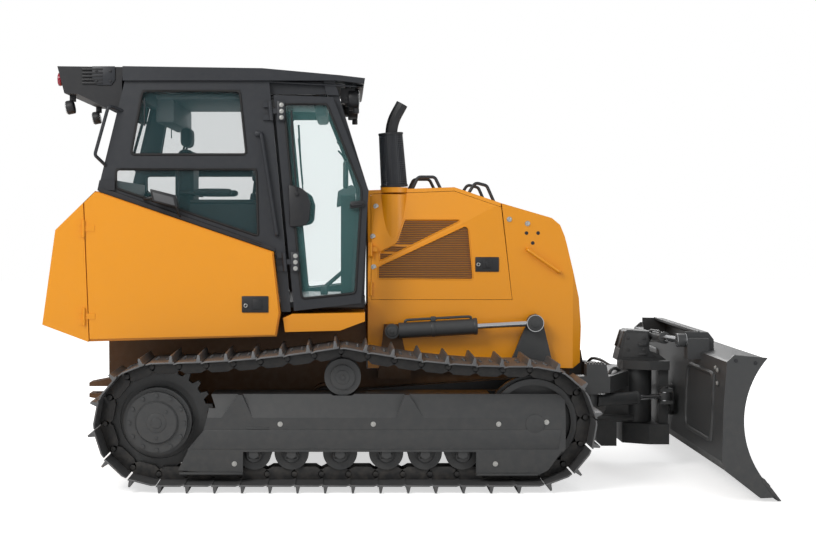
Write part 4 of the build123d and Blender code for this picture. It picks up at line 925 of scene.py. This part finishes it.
def perforated_guard():
    """Cone wall cut into a grid of holes and given the thickness of its sheet."""
    low, high = (drawn(x, STACK_Y, z) for x, z in (STACK_FOOT, GUARD_TOP))
    bpy.ops.mesh.primitive_cone_add(vertices=GUARD_COLUMNS, radius1=GUARD_FOOT_RADIUS,
                                    radius2=GUARD_TOP_RADIUS, depth=(high - low).length,
                                    end_fill_type="NOTHING", location=(low + high) / 2,
                                    rotation=(high - low).to_track_quat("Z", "Y").to_euler())
    piece = settled(bpy.context.object)
    alone(piece)
    bpy.ops.object.mode_set(mode="EDIT")
    bpy.ops.mesh.select_mode(type="EDGE")
    bpy.ops.mesh.select_all(action="DESELECT")
    bpy.ops.object.mode_set(mode="OBJECT")
    for edge in piece.data.edges:       # the upright ones only
        a, b = (piece.data.vertices[k].co for k in edge.vertices)
        edge.select = abs(a.z - b.z) > 0.1
    bpy.ops.object.mode_set(mode="EDIT")
    bpy.ops.mesh.subdivide(number_cuts=GUARD_ROWS - 1)
    bpy.ops.mesh.select_mode(type="FACE")
    bpy.ops.mesh.select_all(action="SELECT")
    bpy.ops.mesh.inset(thickness=GUARD_WEB, use_individual=True)
    bpy.ops.mesh.delete(type="FACE")
    bpy.ops.object.mode_set(mode="OBJECT")
    wall = piece.modifiers.new("sheet", "SOLIDIFY")
    wall.thickness = GUARD_SHEET
    bpy.ops.object.modifier_apply(modifier=wall.name)
    return softened(piece, 0)


guard = perforated_guard()
bands = joined([rod((1508, STACK_Y, 1913), (1507, STACK_Y, 1930), 92, 40, 3),
                rod((1484.5, STACK_Y, 2262), (1483.5, STACK_Y, 2277), 83, 40, 3)])
stack = tube([(1508, STACK_Y, 1930), (1483, STACK_Y, 2330), (1560, STACK_Y, 2470)], 42, 90)
put(joined([bands, stack]), "exhaust_stack", BLACK_PLASTIC)
put(guard, "exhaust_guard", CHARCOAL)
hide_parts("exhaust")
print("guard faces:", len(guard.data.polygons))

# %% [markdown]
# ## Running gear
# The track frame wears a long rock guard over its lower half, and the rollers show their end caps
# below it. Caps and rings are turned parts, so they are stacks of short bevelled rods.

# %% Track frame, rollers and hubs
FRAME_FACE = -1056          # outer face of the right-hand track frame
ROLLERS, ROLLER_Z = (605, 841, 1147, 1438, 1682, 1918), 214
CARRIER_Z, IDLER_Z = 706, 419


def disc(x, z, inner, outer, radius, sides=32, edge=3):
    """Flat round cap on a cross axle."""
    return rod((x, inner, z), (x, outer, z), radius, sides, edge)


shield = [(303, 382), (2532, 382), (2512, 262), (212, 262), (292, 372)]
rock_guard = joined([plate(shield, (FRAME_FACE - 4, FRAME_FACE + 1), 1.5),
                     brick((140, 538), (FRAME_FACE - 16, FRAME_FACE + 2), (101, 116)),
                     brick((2004, 2384), (FRAME_FACE - 16, FRAME_FACE + 2), (94, 109)),
                     brick((560, 700), (FRAME_FACE - 5, FRAME_FACE + 1), (386, 398), 2)])
put_both(rock_guard, "rock_guards", CHASSIS_GREY)
frame_bolts = ((772, 418), (1355, 418), (2140, 418), (485, 168), (2120, 168), (2440, 430))
put_both(bolts([(x, FRAME_FACE, z) for x, z in frame_bolts], 12), "track_frame_bolts", ZINC)
caps = joined([disc(x, ROLLER_Z, -975, -1022, 46, 32, 8) for x in ROLLERS]
              + [bolts([(x + dx, -1021, ROLLER_Z) for x in ROLLERS for dx in (-24, 24)], 9)])
put_both(caps, "roller_caps", CHASSIS_GREY)
carrier = joined([disc(CARRIER_X, CARRIER_Z, -990, -998, 78, 40),
                  disc(CARRIER_X, CARRIER_Z, -996, -1003, 44),
                  bolts([(CARRIER_X, -1002, CARRIER_Z)], 15)])
put_both(carrier, "carrier_roller_caps", CHASSIS_GREY)
hub = joined([disc(0, SPROCKET_Z, -1083, -1089, 62, 40), disc(0, SPROCKET_Z, -1087, -1094, 34),
              bolts([(0, -1084, SPROCKET_Z - 96), (62, -1084, SPROCKET_Z + 70)], 9),
              disc(IDLER_X, IDLER_Z, -1052, -1061, 60, 40, 4)])
put_both(hub, "hub_caps", CHASSIS_GREY)
print("roller caps on each side:", len(ROLLERS))

# %% [markdown]
# ## Hydraulic cylinders
# Each barrel ends in a screwed gland, and a steel pipe runs along it to feed the rod end. Bright
# rods end in forged eyes, painted like the barrels, which a thin sleeve over the eye gives here.

# %% Glands, pipes and eyes
LIFT_BASE, LIFT_EYE = (1487, -552, 964), (2428, -552, 1017)
ANGLE_BASE, ANGLE_EYE = (2800, -528, 500), (3350, -250, 500)
TILT_BASE, TILT_EYE = (3350, 190, 872), (3350, -740, 918)


def along(base, eye):
    """Gives points at distances from the base towards the eye, each moved by an offset."""
    a, b = Vector(base), Vector(eye)
    way = (b - a).normalized()
    return lambda s, off=(0, 0, 0): tuple(a + way * s + Vector(off))


def ring(at, start, end, radius, edge):
    """Gland or clamp round a barrel."""
    return rod(at(start), at(end), radius, 32, edge)


def pipe(at, start, end, low, high, radius, bend):
    """Pipe beside a barrel, from one low offset out to the high one and back."""
    return tube([at(start, low), at(start, high), at(end, high), at(end, low)], radius, bend)


lift = along(LIFT_BASE, LIFT_EYE)
clamp_x, clamp_z = (lift(258)[0] - 4, lift(284)[0] + 4), lift(270)[2]
lift_parts = joined([ring(lift, 538, 562, 56, 4), ring(lift, 258, 284, 54.5, 3),
                     pipe(lift, 86, 520, (0, -10, 40), (0, -14, 68), 9, 24),
                     brick(clamp_x, (-580, -552), (clamp_z + 48, clamp_z + 82), 4)])
put_both(lift_parts, "lift_cylinder_pipes", CHASSIS_GREY, body="lift_barrel_right")
eye_x, _, eye_z = LIFT_EYE
eyes = joined([disc(eye_x, eye_z, -588.4, -519.6, 56.8, 40, 6), disc(eye_x, eye_z, -594, -587, 30)])
put_both(eyes, "lift_rod_eyes", CHASSIS_GREY, body="lift_rod_right")
base_x, _, base_z = LIFT_BASE
pins = joined([disc(base_x, base_z, -596, -584, 34, 32, 4), bolts([(base_x, -596, base_z)], 12)])
put_both(pins, "lift_base_pins", CHASSIS_GREY)
angle = along(ANGLE_BASE, ANGLE_EYE)
glands = joined([ring(angle, 360, 383, 45, 4), ring(angle, 44, 62, 44, 3)])
put_both(glands, "angle_cylinder_glands", CHASSIS_GREY, body="angle_barrel_right")
angle_eye = rod((*ANGLE_EYE[:2], 470.2), (*ANGLE_EYE[:2], 529.8), 46.7, 32, 5)
put_both(angle_eye, "angle_rod_eyes", CHASSIS_GREY, body="angle_rod_right")
tilt = along(TILT_BASE, TILT_EYE)
gland = joined([ring(tilt, 400, 424, 41, 4), ring(tilt, 60, 76, 40, 3),
                pipe(tilt, 96, 390, (-20, 0, 30), (-30, 0, 46), 7, 18)])
put(gland, "tilt_cylinder_gland", CHASSIS_GREY, body="tilt_barrel")
tilt_eye = rod((3320.2, *TILT_EYE[1:]), (3379.8, *TILT_EYE[1:]), 42.8, 32, 5)
put(tilt_eye, "tilt_rod_eye", CHASSIS_GREY, body="tilt_rod")
print("pins of the tilt cylinder are", round((Vector(TILT_EYE) - Vector(TILT_BASE)).length), "mm apart")

# %% [markdown]
# ## Blade gear
# The blade's back is a closed box with a raised frame pressed into it. The cutting edge is bolted
# on, so that it can be turned when it wears, and the end plates have lashing holes near the top.

# %% Blade, tower and push frame
EDGE_TOP = Vector((3700, 0, 140))           # top of the cutting edge's front face
EDGE_RUN = Vector((103, 0, -134))           # from there to its foot
EDGE_OUT = Vector((134, 0, 103))            # straight out of that face
EDGE_BOLTS = range(-1350, 1351, 150)

edge_x, _, edge_z = EDGE_TOP + EDGE_RUN * 0.42
edge_bolts = bolts([(edge_x, y, edge_z) for y in EDGE_BOLTS], 14, EDGE_OUT)
put(edge_bolts, "cutting_edge_bolts", EDGE_STEEL, "blade")
frame_line = [(3443, -1180, 330), (3458, -1180, 745), (3458, -470, 745), (3443, -470, 330)]
put_both(tube(frame_line + frame_line[:2], 13, 90), "blade_back_frame", CHASSIS_GREY, body="blade")
holes = joined([rod((x, -1438.5, z), (x, -1434, z), 12, 24, 1) for x, z in ((3522, 852), (3640, 838))])
put_both(holes, "blade_lashing_holes", BLACK_PLASTIC, "blade")
back_bolts = bolts([(3449, y, z) for y, z in ((-1290, 780), (-1290, 700), (-1240, 790))], 11, (-1, 0, 0))
put_both(back_bolts, "blade_back_bolts", ZINC, body="blade")
crest_lip = tube([(3474, -690, 968), (3474, 690, 968)], 7, 1)
put(crest_lip, "blade_crest_lip", CHASSIS_GREY, body="blade")
cheek = [(3092, 800), (3118, 915), (3262, 912), (3272, 800), (3330, 745), (3066, 745)]
mast = joined([plate(cheek, (side * 88, side * 93), 2) for side in (-1, 1)]
              + [rod((3076, side * 78, 812), (3112, side * 78, 926), 12, 20, 2) for side in (-1, 1)]
              + [bolts([(x, -93, z) for x in (3130, 3240) for z in (880, 800)], 9)]
              + [brick((3200, 3262), (-101, -92), (z, z + 20), 4) for z in (826, 760)])
put(mast, "tower_cheeks", CHASSIS_GREY, body="tower")
cleats = repeated(brick((2772, 2782), (-582, -490), (747, 757), 2), [(20 * k, 0, 0) for k in range(1, 6)])
put_both(cleats, "push_frame_step", CHASSIS_GREY, body="c_frame")
pipes = joined([tube([(2935, -440, 655), (2960, -400, 700), (3010, -300, 694), (3060, -180, 660)], 11, 40),
                tube([(2852, -350, 372), (3010, -330, 356), (3130, -250, 356)], 22, 80)])
put_both(pipes, "push_frame_pipes", CHASSIS_GREY, body="c_frame")
print("edge bolts:", len(EDGE_BOLTS))

# %% [markdown]
# ## Radiator
# The radiator breathes through a fine mesh of upright wires behind its slats: one wire and its copies.

# %% Grille mesh
WIRES, WIRE_PITCH = 26, 26

wire = tube([(2652, -325, 1168), (2566, -325, 1504)], 2.5, 1)
mesh = repeated(wire, [(0, WIRE_PITCH * k, 0) for k in range(1, WIRES)])
put(mesh, "grille_mesh", BLACK_PLASTIC)
print("grille wires:", WIRES)
